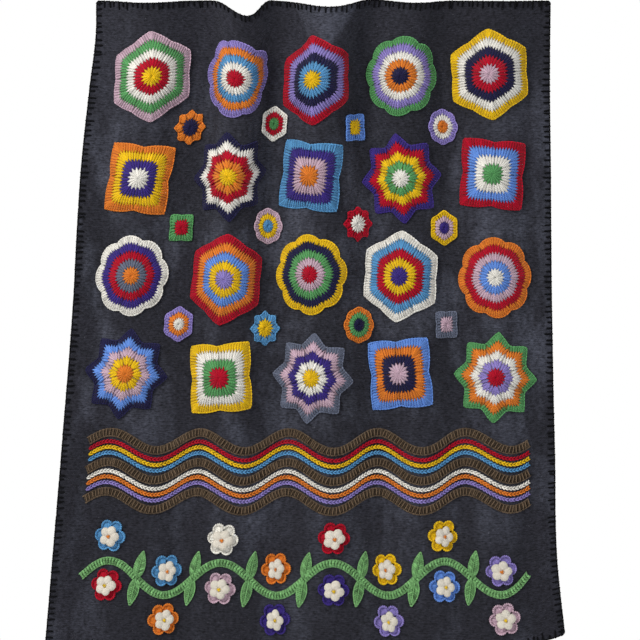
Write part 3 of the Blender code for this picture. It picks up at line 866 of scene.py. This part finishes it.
def crochet_motif(name, kind, centre, radius, turn, yarns, seed, settings):
    """Rounds of tall stitches over a thin base, each round's tips over the next, with a looped edge."""
    work = Work(seed)
    motif = Motif(kind, centre, radius, turn)
    rounds = len(yarns)
    edge = 1 - settings.yarn_thickness * 0.7 / radius
    hole = settings.middle_hole / radius

    # Painted shade: the base under each round is its yarn darkened, for the shade between the stitches
    def shaded_base_yarn(share):
        return shaded(yarns[min(int(share / edge * rounds), rounds - 1)], 0.60)

    inner = np.linspace(hole, edge * 0.985, rounds + 1)
    work.slab(motif.at, inner, shaded_base_yarn, MOTIF_BASE)
    for number, yarn in enumerate(yarns):
        low = hole if number == 0 else number / rounds * edge
        high = (number + 1) / rounds * edge
        count = round(motif.length((low + high) / 2) / settings.stitch_width)
        if number == 0:
            count = settings.first_round
        tips = motif.spaced(high, count, work.random.uniform(0, 1))
        feet = nearest(tips, motif.ring(low))
        last = number == rounds - 1
        wide = (max(motif.length(low) / count, 0.0010), motif.length(high) / count)
        work.stitches(LAST_POST if last else POST, feet, tips, wide, yarn)
        if not last:
            start = tips[[JOIN_STEP * number]]
            join = nearest(start, motif.ring(high + JOIN_REACH / rounds))
            work.stitches(JOIN, start, join, (0.0022, 0.0018), yarn)
    rim = motif.spaced(edge, round(motif.length(edge) / settings.rim_pitch))
    work.stitches(RIM, rim, np.roll(rim, -1, axis=0), settings.yarn_thickness, yarns[-1])
    work.piece(f"{name}_crochet", name)


class Path:
    """A waved line across the cloth, read by its length."""

    def __init__(self, ends, height, rise, length):
        u = np.linspace(ends[0], ends[1], 1200)
        v = height - rise * np.sin(2 * math.pi * (u - ends[0]) / length)
        self.points = np.stack([u, v], axis=1)
        self.run = run_along(self.points)
        self.length = float(self.run[-1])

    def paced(self, pitch):
        """How many stitches fit, and the even pitch that fills the line."""
        count = round(self.length / pitch)
        return count, self.length / count

    def at(self, along):
        return np.stack([np.interp(along, self.run, self.points[:, k]) for k in (0, 1)], axis=1)

    def side(self, along):
        """The way across the line, upwards on the cloth."""
        step = self.at(along + 0.0005) - self.at(along - 0.0005)
        step /= np.linalg.norm(step, axis=1, keepdims=True)
        return np.stack([step[:, 1], -step[:, 0]], axis=1)


def looped_edge(work, path, out, yarn, thick, pitch, shade, glow=1.0):
    """A line of loops beside a path."""
    along = np.linspace(0, path.length, path.paced(pitch)[0] + 1)
    edge = path.at(along) + path.side(along) * out
    loop = (EDGE_LOOP, thick * 1.25, SEWN_FROM, shade, glow)
    work.stitches(loop, edge[:-1], edge[1:], thick, yarn)


def ladder_strip(work, path, settings):
    """A brown strip of ribs, each a dark bar of painted shade and a thin light one of painted highlight,
    with a lighter looped edge as painted highlight.
    """
    # Painted shade: the strip's base is its yarn darkened, for the shade between the ribs
    work.backing(path, STRIP_WIDTH / 2 - EDGE_ROOM, STRIP_BASE, shaded("brown", 0.25))
    count, pitch = path.paced(settings.rib_pitch)
    thick = settings.yarn_thickness
    half = STRIP_WIDTH / 2 - thick * 0.6
    for rib, start, share in ((SHADED_RIB, 0.28, 0.52), (LIT_RIB, 0.76, 0.32)):
        along = (np.arange(count) + start) * pitch + work.random.normal(0, STRAY, count)
        lean = 0.10 * pitch + work.random.normal(0, 0.0004, count)
        feet = path.at(along - lean) - path.side(along) * half
        tips = path.at(along + lean) + path.side(along) * half
        work.stitches(rib, feet, tips, pitch * share, "brown")
    for way in (-1, 1):
        # Painted highlight: the strip's looped edges are lighter
        looped_edge(work, path, way * half, "brown", thick, settings.rim_pitch, 0.26, glow=1.25)


def crossed_strip(work, path, width, yarn, settings):
    """Two rows of slanted bars that stand apart and meet along the middle, with a looped edge."""
    # Painted shade: the strip's base is its yarn darkened, for the shade between the bars
    work.backing(path, width / 2 - EDGE_ROOM, STRIP_BASE, shaded(yarn, 0.34))
    count, pitch = path.paced(settings.bar_pitch)
    along = (np.arange(count) + 0.5) * pitch
    thick = settings.yarn_thickness
    half = width / 2 - thick * 0.5
    for way in (-1, 1):
        feet = path.at(along - 0.20 * pitch) - path.side(along) * way * 0.0002
        tips = path.at(along + 0.20 * pitch) + path.side(along) * way * half
        work.stitches(BAR, feet, tips, pitch * 0.74, yarn)
        looped_edge(work, path, way * half, yarn, thick, settings.bar_pitch, 0.14)


def chain_cord(work, path, width, yarn, settings):
    """A cord of chain stitches: slanted pairs of loops, each out of the one before."""
    # Painted shade: the cord's base is its yarn darkened, for the shade between the loops
    work.backing(path, width * 0.30, CORD_BASE, shaded(yarn, 0.38))
    count, pitch = path.paced(settings.chain_pitch)
    along = (np.arange(count) + 0.5) * pitch + work.random.normal(0, STRAY, count)
    sway = path.side(along) * 0.0004 * np.sin(along * 70 + width * 900)[:, None]
    thick = settings.chain_yarn
    for way in (-1, 1):
        feet = path.at(along - 0.04 * pitch) + path.side(along) * way * 0.0004 + sway
        tips = path.at(along + 0.90 * pitch) + path.side(along) * way * (width / 2 - thick * 0.3) + sway
        work.stitches(CHAIN, feet, tips, thick, yarn)


def leaf_places(foot, way, along, out):
    """Places on a leaf that leans from its foot: along it, and out from its rib."""
    lean = LEAF_LEAN * way
    across = foot[0] + out * math.cos(lean) + along * math.sin(lean)
    down = foot[1] - way * (along * math.cos(lean) - out * math.sin(lean))
    return np.stack([across, down], axis=-1)


def leaf_feet():
    """Where each leaf is crocheted on, and whether it points up or down the cloth."""
    for number in range(1, BENDS):
        for way in (-1, 1):
            yield (VINE_ENDS[0] + VINE_WAVE_LENGTH / 2 * number, VINE_HEIGHT), way


def crochet_leaf(work, foot, way, settings):
    """A leaf of stitches that fan out from its rib, with a looped edge."""

    def half_at(share):
        return LEAF_HALF_WIDTH * np.sin(math.pi * np.clip(share, 0, 1) ** 0.8) ** 0.7

    shares = np.linspace(0.18, 0.92, 11)
    rim = np.linspace(0.06, 0.99, 13)
    for hand in (-1, 1):
        feet = leaf_places(foot, way, LEAF_LENGTH * (shares - 0.10), hand * 0.0004)
        tips = leaf_places(foot, way, LEAF_LENGTH * (shares + 0.02), hand * (half_at(shares) - EDGE_ROOM))
        work.stitches(LEAF_FAN, feet, tips, 0.0024, "leaf")
        out = hand * np.maximum(half_at(rim) - EDGE_ROOM, 0.0002)
        edge = leaf_places(foot, way, LEAF_LENGTH * rim, out)
        work.stitches(LEAF_RIM, edge[:-1], edge[1:], settings.yarn_thickness, "leaf")
    rib = leaf_places(foot, way, LEAF_LENGTH * np.linspace(0.04, 0.86, 10), 0)
    work.stitches(LEAF_RIB, rib[:-1], rib[1:], 0.0022, "leaf")


def ball():
    """A small round puff."""
    bm = bmesh.new()
    bmesh.ops.create_icosphere(bm, subdivisions=2, radius=1)
    shape, faces = taken(bm)
    # down the cloth is the other way from up the page, so the faces are turned
    return shape, [face[::-1] for face in faces]


BALL = ball()


def petal_reach(full, share):
    """How far a petal's edge lies from the flower's middle, at a share of the petal's spread."""
    return full * (1 - 1.15 * np.abs(share) ** 2.2)


def crochet_flower(name, centre, turn, yarn, eye, seed, settings):
    """Six cupped petals of fanned stitches round a puffy middle with a small knot."""
    work = Work(seed)
    thick = settings.yarn_thickness
    petal = 2 * math.pi / PETALS
    for number in range(PETALS):
        mid = number * petal + turn + work.random.normal(0, 0.03)
        full = FLOWER_RADIUS * (1 + work.random.normal(0, 0.015))
        spread = np.linspace(-0.40, 0.40, 8) * petal
        feet = around(centre, PETAL_FOOT, mid + spread * 0.80)
        tips = around(centre, petal_reach(full, spread / petal) - 0.0022, mid + spread * 0.98)
        work.stitches(PETAL, feet, tips, (0.0018, 0.0036), yarn)
        spread = np.linspace(-0.48, 0.48, 10) * petal
        reach = petal_reach(full, spread / petal)
        inner = around(centre, reach - 0.0042, mid + spread * 0.94)
        outer = around(centre, reach - 0.0010, mid + spread)
        work.stitches(PETAL_RIM, inner, outer, (thick * 1.10, thick * 1.40), yarn)
    shape, faces = BALL
    puffs = []
    for number in range(PUFFS):
        angle = 2 * math.pi * number / PUFFS + turn + work.random.normal(0, 0.08)
        puffs.append((PUFF_RING, angle, PUFF_SIZE))
    puffs.append((0.0, 0.0, MIDDLE_PUFF_SIZE))
    for number, (off, angle, (long, wide, high)) in enumerate(puffs):
        size = 1 + work.random.normal(0, 0.05)
        u, v = around(centre, off, angle)
        x = size * long * shape[:, 0]
        y = size * wide * shape[:, 1]
        u = u + x * math.cos(angle) - y * math.sin(angle)
        v = v - x * math.sin(angle) - y * math.cos(angle)
        flat = np.stack([u, v, PUFF_FROM + high * (1 + shape[:, 2])], axis=1)
        glow = work.random.uniform(0.90, 1.04)
        colours = np.tile(np.clip(np.array(YARNS["cream"]) * glow, 0, 1), (len(shape), 1))
        ply = np.stack([x * 1.4 + 0.01 * number, shape[:, 1] * 0.5 + 0.5, 0 * x], axis=1)
        work.add(flat, faces, colours, ply)
    knot = around(centre, KNOT_RADIUS, np.array([0.4, 2.5, 4.6]) + turn)
    across = around(centre, KNOT_RADIUS, np.array([3.3, 5.4, 1.3]) + turn)
    work.stitches(KNOT, knot, across, KNOT_RADIUS, eye)
    work.piece(f"{name}_crochet", name)


def around(centre, reach, angles):
    """Places of the drawing round a centre."""
    return np.stack([centre[0] + reach * np.cos(angles), centre[1] - reach * np.sin(angles)], axis=-1)


def laid_out(layout, prefix, radius, first, between):
    """Each motif of a layout: its name, kind, centre, radius, turn, yarns and number."""
    for row, motifs in enumerate(layout):
        for column, (kind, yarns) in enumerate(motifs):
            number = first + len(LARGE_MOTIFS[0]) * row + column
            shift, turn = by_hand(number)
            u = FIRST_LARGE[0] + LARGE_PITCH[0] * (column + between) + shift[0]
            v = FIRST_LARGE[1] + LARGE_PITCH[1] * (row + between) + shift[1]
            name = f"{prefix}{kind}_{row + 1}{column + 1}"
            yield name, kind, (u, v), radius[kind], BASE_TURN[kind] + turn, yarns.split(), number


def large_motifs():
    return laid_out(LARGE_MOTIFS, "", LARGE_RADIUS, first=0, between=0.0)


def small_motifs():
    return laid_out(SMALL_MOTIFS, "small_", SMALL_RADIUS, first=FIRST_SMALL_NUMBER, between=0.5)


def flowers():
    """Each flower: its name, centre, turn, yarn, eye and number."""
    for number in range(BENDS):
        inward = 1 if number % 2 == 0 else -1
        rows = (
            ("inner", inward * INNER_FLOWERS, INNER_YARNS),
            ("outer", -inward * OUTER_FLOWERS, OUTER_YARNS),
        )
        for row, (place, off, yarns) in enumerate(rows):
            seed = FIRST_FLOWER_NUMBER + BENDS * row + number
            shift, turn = by_hand(seed)
            u = VINE_ENDS[0] + VINE_WAVE_LENGTH * (0.25 + 0.5 * number) + FLOWER_SHIFT * shift[0]
            v = VINE_HEIGHT + off + FLOWER_SHIFT * shift[1]
            eye = ("yellow", "orange")[(number + row) % 2]
            yield f"flower_{place}_{number + 1}", (u, v), turn, yarns[number], eye, seed


def band_path(height):
    return Path(BAND_ENDS, height, BAND_WAVE_HEIGHT, BAND_WAVE_LENGTH)


def vine_path():
    return Path(VINE_ENDS, VINE_HEIGHT, VINE_WAVE_HEIGHT, VINE_WAVE_LENGTH)


def back_stitching(settings):
    """The small stitches that hold the crochet, as they show on the back of the cloth."""
    work = Work(SEWING_SEED)
    thick = settings.sewing_yarn
    small = (EDGE_LOOP, thick, -FACE - thick * 0.75, 0.12, 1.0)

    def sew(places, yarn):
        places = places + work.random.normal(0, 0.0004, places.shape)
        pairs = len(places) // 2
        feet, tips = places[0 : 2 * pairs : 2], places[1 : 2 * pairs : 2]
        work.stitches(small, feet, tips, thick, yarn)

    def sew_along(path, off, yarn):
        along = np.linspace(0.006, path.length - 0.006, 2 * round(path.length / settings.sewing_pitch))
        sew(path.at(along) + path.side(along) * off, yarn)

    for _, kind, centre, radius, turn, yarns, _ in (*large_motifs(), *small_motifs()):
        motif = Motif(kind, centre, radius, turn)
        share = 1 - 0.007 / radius
        sew(motif.spaced(share, 2 * round(motif.length(share) / settings.sewing_pitch)), yarns[-1])
    for _, yarn, height, width in BANDS:
        for off in (-0.3 * width, 0.3 * width) if width == STRIP_WIDTH else (0.0,):
            sew_along(band_path(height), off, yarn)
    for off in (-0.3 * VINE_WIDTH, 0.3 * VINE_WIDTH):
        sew_along(vine_path(), off, "leaf")
    for foot, way in leaf_feet():
        sew(leaf_places(foot, way, np.linspace(0.3, 0.9, 6) * LEAF_LENGTH, 0), "leaf")
    for _, centre, turn, yarn, _, _ in flowers():
        sew(around(centre, 0.013, np.linspace(0, 2 * math.pi, 14, endpoint=False) + turn), yarn)
    work.piece("back_stitch", "felt_cloth")


def felt_sheet(settings):
    """The cloth as a closed sheet on its folds, with its cut drawn flat as its UV map."""
    bm = thin_grid(settings.columns, settings.rows, -FACE, FACE)
    for vert in bm.verts:
        vert.co.x = (vert.co.x + 0.5) * CUT_WIDTH
        vert.co.y = (vert.co.y - 0.5) * CUT_HEIGHT
    layer = bm.loops.layers.uv.new("cut")
    for face in bm.faces:
        for loop in face.loops:
            loop[layer].uv = (loop.vert.co.x, loop.vert.co.y)
    mesh = bpy.data.meshes.new("felt_sheet")
    bm.to_mesh(mesh)
    bm.free()
    flat = np.zeros(len(mesh.vertices) * 3)
    mesh.vertices.foreach_get("co", flat)
    flat = flat.reshape(-1, 3)
    flat[:, 1] *= -1
    mesh.vertices.foreach_set("co", HUNG.place(flat).astype(np.float32).reshape(-1))
    mesh.update()
    # The creases' height, for the felt's painted sheen on their ridges and painted shade in their troughs
    raised = creased(flat[:, 0], flat[:, 1]) / RIDGE_HEIGHT
    mesh.attributes.new("ridge", "FLOAT", "POINT").data.foreach_set("value", raised.astype(np.float32))
    mesh.shade_smooth()
    mesh.set_sharp_from_angle(angle=math.radians(60))
    mesh.materials.append(material("felt", felt_material, settings.colour, settings.worn_and_sheen_colour))
    declare(stand("felt_sheet", mesh), "felt_cloth")


def blanket_stitching(settings):
    """Black yarn over the cut edge: a leg on each face, and a purl along the edge between legs."""
    work = Work(EDGE_SEED)
    sides = (
        ((0, 0), (1, 0), (0, 1), CUT_WIDTH),
        ((CUT_WIDTH, 0), (0, 1), (-1, 0), CUT_HEIGHT),
        ((CUT_WIDTH, CUT_HEIGHT), (-1, 0), (0, -1), CUT_WIDTH),
        ((0, CUT_HEIGHT), (0, -1), (1, 0), CUT_HEIGHT),
    )
    thick = settings.edge_yarn
    for corner, way, inward, length in sides:
        corner, way, inward = np.array(corner), np.array(way), np.array(inward)
        count = round(length / settings.edge_pitch)
        pitch = length / count
        loose = work.random.normal(0, 1, (count, 2))
        along = ((np.arange(count) + 0.5) * pitch + 0.0011 * loose[:, 0])[:, None]
        edge = corner + along * way - 0.4 * thick * inward
        deep = settings.edge_depth * (1 + 0.16 * loose[:, 1:])
        hole = edge + deep * inward + 0.0007 * loose[:, :1] * way
        for lift in (FACE + 0.0001, -FACE - 0.0001 - thick * 0.9):
            leg = (STITCH_LEG, thick * 0.9, lift, 0.2, 1.0)
            work.stitches(leg, edge, hole, (thick * 1.1, thick * 0.95), "black")
        knots = corner + np.concatenate([[[0.0]], along, [[length]]]) * way - 0.4 * thick * inward
        purl = (BEAD, thick * 1.5, -0.75 * thick, 0.2, 1.0)
        work.stitches(purl, knots[:-1], knots[1:], thick, "black")
    work.piece("blanket_stitch", "felt_cloth", "edge_yarn", 0.02)


def size_of(name, description, default):
    return FloatProperty(name=name, description=description, default=default, unit="LENGTH")


def strength_of(name, description, default):
    return FloatProperty(name=name, description=description, default=default, min=0)


def number_of(name, description, default, least):
    return IntProperty(name=name, description=description, default=default, min=least)


def colour_of(name, description, default):
    return FloatVectorProperty(name=name, description=description, default=default, subtype="COLOR")


class ClothSettings(bpy.types.PropertyGroup):
    """Sizes and colours of the felt."""

    columns: number_of("Columns", "Faces across the cloth", 168, least=20)
    rows: number_of("Rows", "Faces down the cloth", 140, least=20)
    colour: colour_of("Felt", "Colour of the felt", (0.0172, 0.0172, 0.0236))
    # The lighter colour serves both real wear and painted sheen and light
    worn_and_sheen_colour: colour_of("Worn and sheen-lit felt", "Colour of its lighter places", (0.058, 0.062, 0.083))
    edge_pitch: size_of("Edge stitch pitch", "From one edge stitch to the next", 0.0096)
    edge_depth: size_of("Edge stitch depth", "How far the stitches reach in", 0.0105)
    edge_yarn: size_of("Edge yarn", "Thickness of the edge yarn", 0.0030)


class CrochetSettings(bpy.types.PropertyGroup):
    """Sizes of the crochet."""

    stitch_width: size_of("Stitch width", "From one stitch to the next", 0.0041)
    first_round: number_of("First round", "Stitches in a motif's first round", 16, least=6)
    yarn_thickness: size_of("Yarn thickness", "Thickness of the yarn", 0.0026)
    rim_pitch: size_of("Rim pitch", "From one loop of an edge to the next", 0.0056)
    rib_pitch: size_of("Rib pitch", "From one rib of a brown strip to the next", 0.0062)
    bar_pitch: size_of("Bar pitch", "From one bar of the green strip to the next", 0.0052)
    chain_pitch: size_of("Chain pitch", "From one chain stitch to the next", 0.0062)
    chain_yarn: size_of("Chain yarn", "Thickness of the yarn of the cords", 0.0024)
    sewing_yarn: size_of("Sewing yarn", "Thickness of the yarn that sews the crochet on", 0.0012)
    sewing_pitch: size_of("Sewing pitch", "From one sewing stitch to the next", 0.0085)
    middle_hole: size_of("Middle hole", "Radius of the hole in a motif's middle", 0.0012)


class StudioSettings(bpy.types.PropertyGroup):
    """The stage, the lights and the camera."""

    distance: size_of("Distance", "Camera to cloth", 2.6)
    frame_height: size_of("Frame height", "What the picture spans at the cloth", 1.0585)
    floor_gap: size_of("Floor gap", "From the cloth's foot to the floor", 0.38)
    floor_size: size_of("Floor size", "Radius of the floor", 2.2)
    key: strength_of("Key light", "Power of the key light", 70.0)
    fill: strength_of("Fill light", "Power of the fill light", 16.0)
    world: strength_of("World", "Strength of the pale surroundings", 0.42)


class HANGING_OT_cloth(bpy.types.Operator):
    """Make the felt cloth on its folds"""

    bl_idname = "hanging.cloth"
    bl_label = "Felt cloth"

    def execute(self, context):
        felt_sheet(context.scene.hanging_cloth)
        return {"FINISHED"}


class HANGING_OT_edge(bpy.types.Operator):
    """Stitch round the cloth's cut edge"""

    bl_idname = "hanging.edge"
    bl_label = "Blanket stitch"

    def execute(self, context):
        blanket_stitching(context.scene.hanging_cloth)
        return {"FINISHED"}


class HANGING_OT_large_motifs(bpy.types.Operator):
    """Crochet the large motifs"""

    bl_idname = "hanging.large_motifs"
    bl_label = "Large motifs"

    def execute(self, context):
        for name, *how in large_motifs():
            crochet_motif(name, *how, context.scene.hanging_crochet)
        return {"FINISHED"}


class HANGING_OT_small_motifs(bpy.types.Operator):
    """Crochet the small motifs"""

    bl_idname = "hanging.small_motifs"
    bl_label = "Small motifs"

    def execute(self, context):
        for name, *how in small_motifs():
            crochet_motif(name, *how, context.scene.hanging_crochet)
        return {"FINISHED"}


class HANGING_OT_bands(bpy.types.Operator):
    """Crochet the waved strips and cords"""

    bl_idname = "hanging.bands"
    bl_label = "Strips and cords"

    def execute(self, context):
        settings = context.scene.hanging_crochet
        for number, (name, yarn, height, width) in enumerate(BANDS):
            work = Work(BAND_SEED + number)
            path = band_path(height)
            if width == STRIP_WIDTH:
                ladder_strip(work, path, settings)
            else:
                chain_cord(work, path, width, yarn, settings)
            work.piece(f"{name}_crochet", name)
        return {"FINISHED"}


class HANGING_OT_vine(bpy.types.Operator):
    """Crochet the vine and its leaves"""

    bl_idname = "hanging.vine"
    bl_label = "Vine"

    def execute(self, context):
        settings = context.scene.hanging_crochet
        work = Work(VINE_SEED)
        crossed_strip(work, vine_path(), VINE_WIDTH, "leaf", settings)
        for foot, way in leaf_feet():
            crochet_leaf(work, foot, way, settings)
        work.piece("vine_crochet", "vine")
        return {"FINISHED"}


class HANGING_OT_flowers(bpy.types.Operator):
    """Crochet the flowers"""

    bl_idname = "hanging.flowers"
    bl_label = "Flowers"

    def execute(self, context):
        for name, *how in flowers():
            crochet_flower(name, *how, context.scene.hanging_crochet)
        return {"FINISHED"}


class HANGING_OT_sewing(bpy.types.Operator):
    """Sew the crochet on, as it shows on the back of the cloth"""

    bl_idname = "hanging.sewing"
    bl_label = "Sewing on the back"

    def execute(self, context):
        back_stitching(context.scene.hanging_crochet)
        return {"FINISHED"}


# Where the camera aims, across and forward, and how far below the cloth's highest place its view starts
AIM = (0.0025, 0.017)
TOP_MARGIN = 0.0005


def area_light(name, place, target, size, power, colour):
    data = bpy.data.lights.new(name, "AREA")
    data.shape = "RECTANGLE"
    data.size, data.size_y = size
    data.energy = power
    data.color = colour
    lamp = stand(name, data)
    lamp.location = place
    lamp.rotation_euler = (Vector(target) - Vector(place)).to_track_quat("-Z", "Y").to_euler()


def pale_surroundings(strength):
    """White to look at, and softer as a light."""
    world = bpy.data.worlds.new("pale_surroundings")
    s = Shading(world)
    light = s.node("ShaderNodeBackground", {}, {"Color": (0.96, 0.97, 1.0, 1), "Strength": strength})
    seen = s.node("ShaderNodeBackground", {}, {"Color": (1, 1, 1, 1)})
    by_camera = s.node("ShaderNodeLightPath").out("Is Camera Ray")
    inputs = {0: by_camera, 1: light.out("Background"), 2: seen.out("Background")}
    mixed = s.node("ShaderNodeMixShader", {}, inputs).out("Shader")
    s.node("ShaderNodeOutputWorld", {}, {"Surface": mixed})
    bpy.context.scene.world = world


class HANGING_OT_studio(bpy.types.Operator):
    """Set up the floor, the lights and the camera"""

    bl_idname = "hanging.studio"
    bl_label = "Studio"

    def execute(self, context):
        settings = context.scene.hanging_studio
        low, high = CAD_BOX
        centre = Vector((*AIM, high.z - TOP_MARGIN - settings.frame_height / 2))
        bm = bmesh.new()
        bmesh.ops.create_circle(bm, cap_ends=True, segments=128, radius=settings.floor_size)
        bmesh.ops.translate(bm, verts=bm.verts[:], vec=(0, 0, low.z - settings.floor_gap))
        mesh = bpy.data.meshes.new("floor")
        bm.to_mesh(mesh)
        bm.free()
        mesh.materials.append(material("floor", floor_material, settings.floor_size))
        stand("floor", mesh)
        area_light("key", (-1.9, -1.9, 1.0), centre, (0.9, 0.9), settings.key, (1.0, 0.985, 0.96))
        area_light("fill", (1.9, -2.1, -0.3), centre, (1.6, 1.6), settings.fill, (0.95, 0.975, 1.0))
        area_light("back", (0.6, 2.2, 0.8), centre, (1.6, 1.6), settings.fill * 3, (1.0, 1.0, 1.0))
        pale_surroundings(settings.world)
        context.scene.view_settings.view_transform = "Standard"
        data = bpy.data.cameras.new("camera")
        data.sensor_width = 36
        data.lens = data.sensor_width * settings.distance / settings.frame_height
        camera = stand("camera", data)
        camera.location = centre + Vector((0, -settings.distance, 0))
        camera.rotation_euler = (math.pi / 2, 0, 0)
        context.scene.camera = camera
        return {"FINISHED"}


class HANGING_PT_panel(bpy.types.Panel):
    """The hanging's sizes and the steps that make it"""

    bl_idname = "HANGING_PT_panel"
    bl_label = "Crocheted hanging"
    bl_space_type = "VIEW_3D"
    bl_region_type = "UI"
    bl_category = "Hanging"

    def draw(self, context):
        layout = self.layout
        for settings in ("hanging_cloth", "hanging_crochet", "hanging_studio"):
            group = getattr(context.scene, settings)
            for name in group.bl_rna.properties.keys():
                if name not in ("rna_type", "name"):
                    layout.prop(group, name)
        for step in STEPS:
            layout.operator(step)


CLASSES = (
    ClothSettings,
    CrochetSettings,
    StudioSettings,
    HANGING_OT_cloth,
    HANGING_OT_edge,
    HANGING_OT_large_motifs,
    HANGING_OT_small_motifs,
    HANGING_OT_bands,
    HANGING_OT_vine,
    HANGING_OT_flowers,
    HANGING_OT_sewing,
    HANGING_OT_studio,
    HANGING_PT_panel,
)
STEPS = (
    "hanging.cloth",
    "hanging.edge",
    "hanging.large_motifs",
    "hanging.small_motifs",
    "hanging.bands",
    "hanging.vine",
    "hanging.flowers",
    "hanging.sewing",
    "hanging.studio",
)


def register():
    for cls in CLASSES:
        bpy.utils.register_class(cls)
    bpy.types.Scene.hanging_cloth = PointerProperty(type=ClothSettings)
    bpy.types.Scene.hanging_crochet = PointerProperty(type=CrochetSettings)
    bpy.types.Scene.hanging_studio = PointerProperty(type=StudioSettings)


def unregister():
    del bpy.types.Scene.hanging_studio
    del bpy.types.Scene.hanging_crochet
    del bpy.types.Scene.hanging_cloth
    for cls in reversed(CLASSES):
        bpy.utils.unregister_class(cls)


def main():
    register()
    for step in STEPS:
        group, name = step.split(".")
        getattr(getattr(bpy.ops, group), name)()


if __name__ == "__main__":
    main()
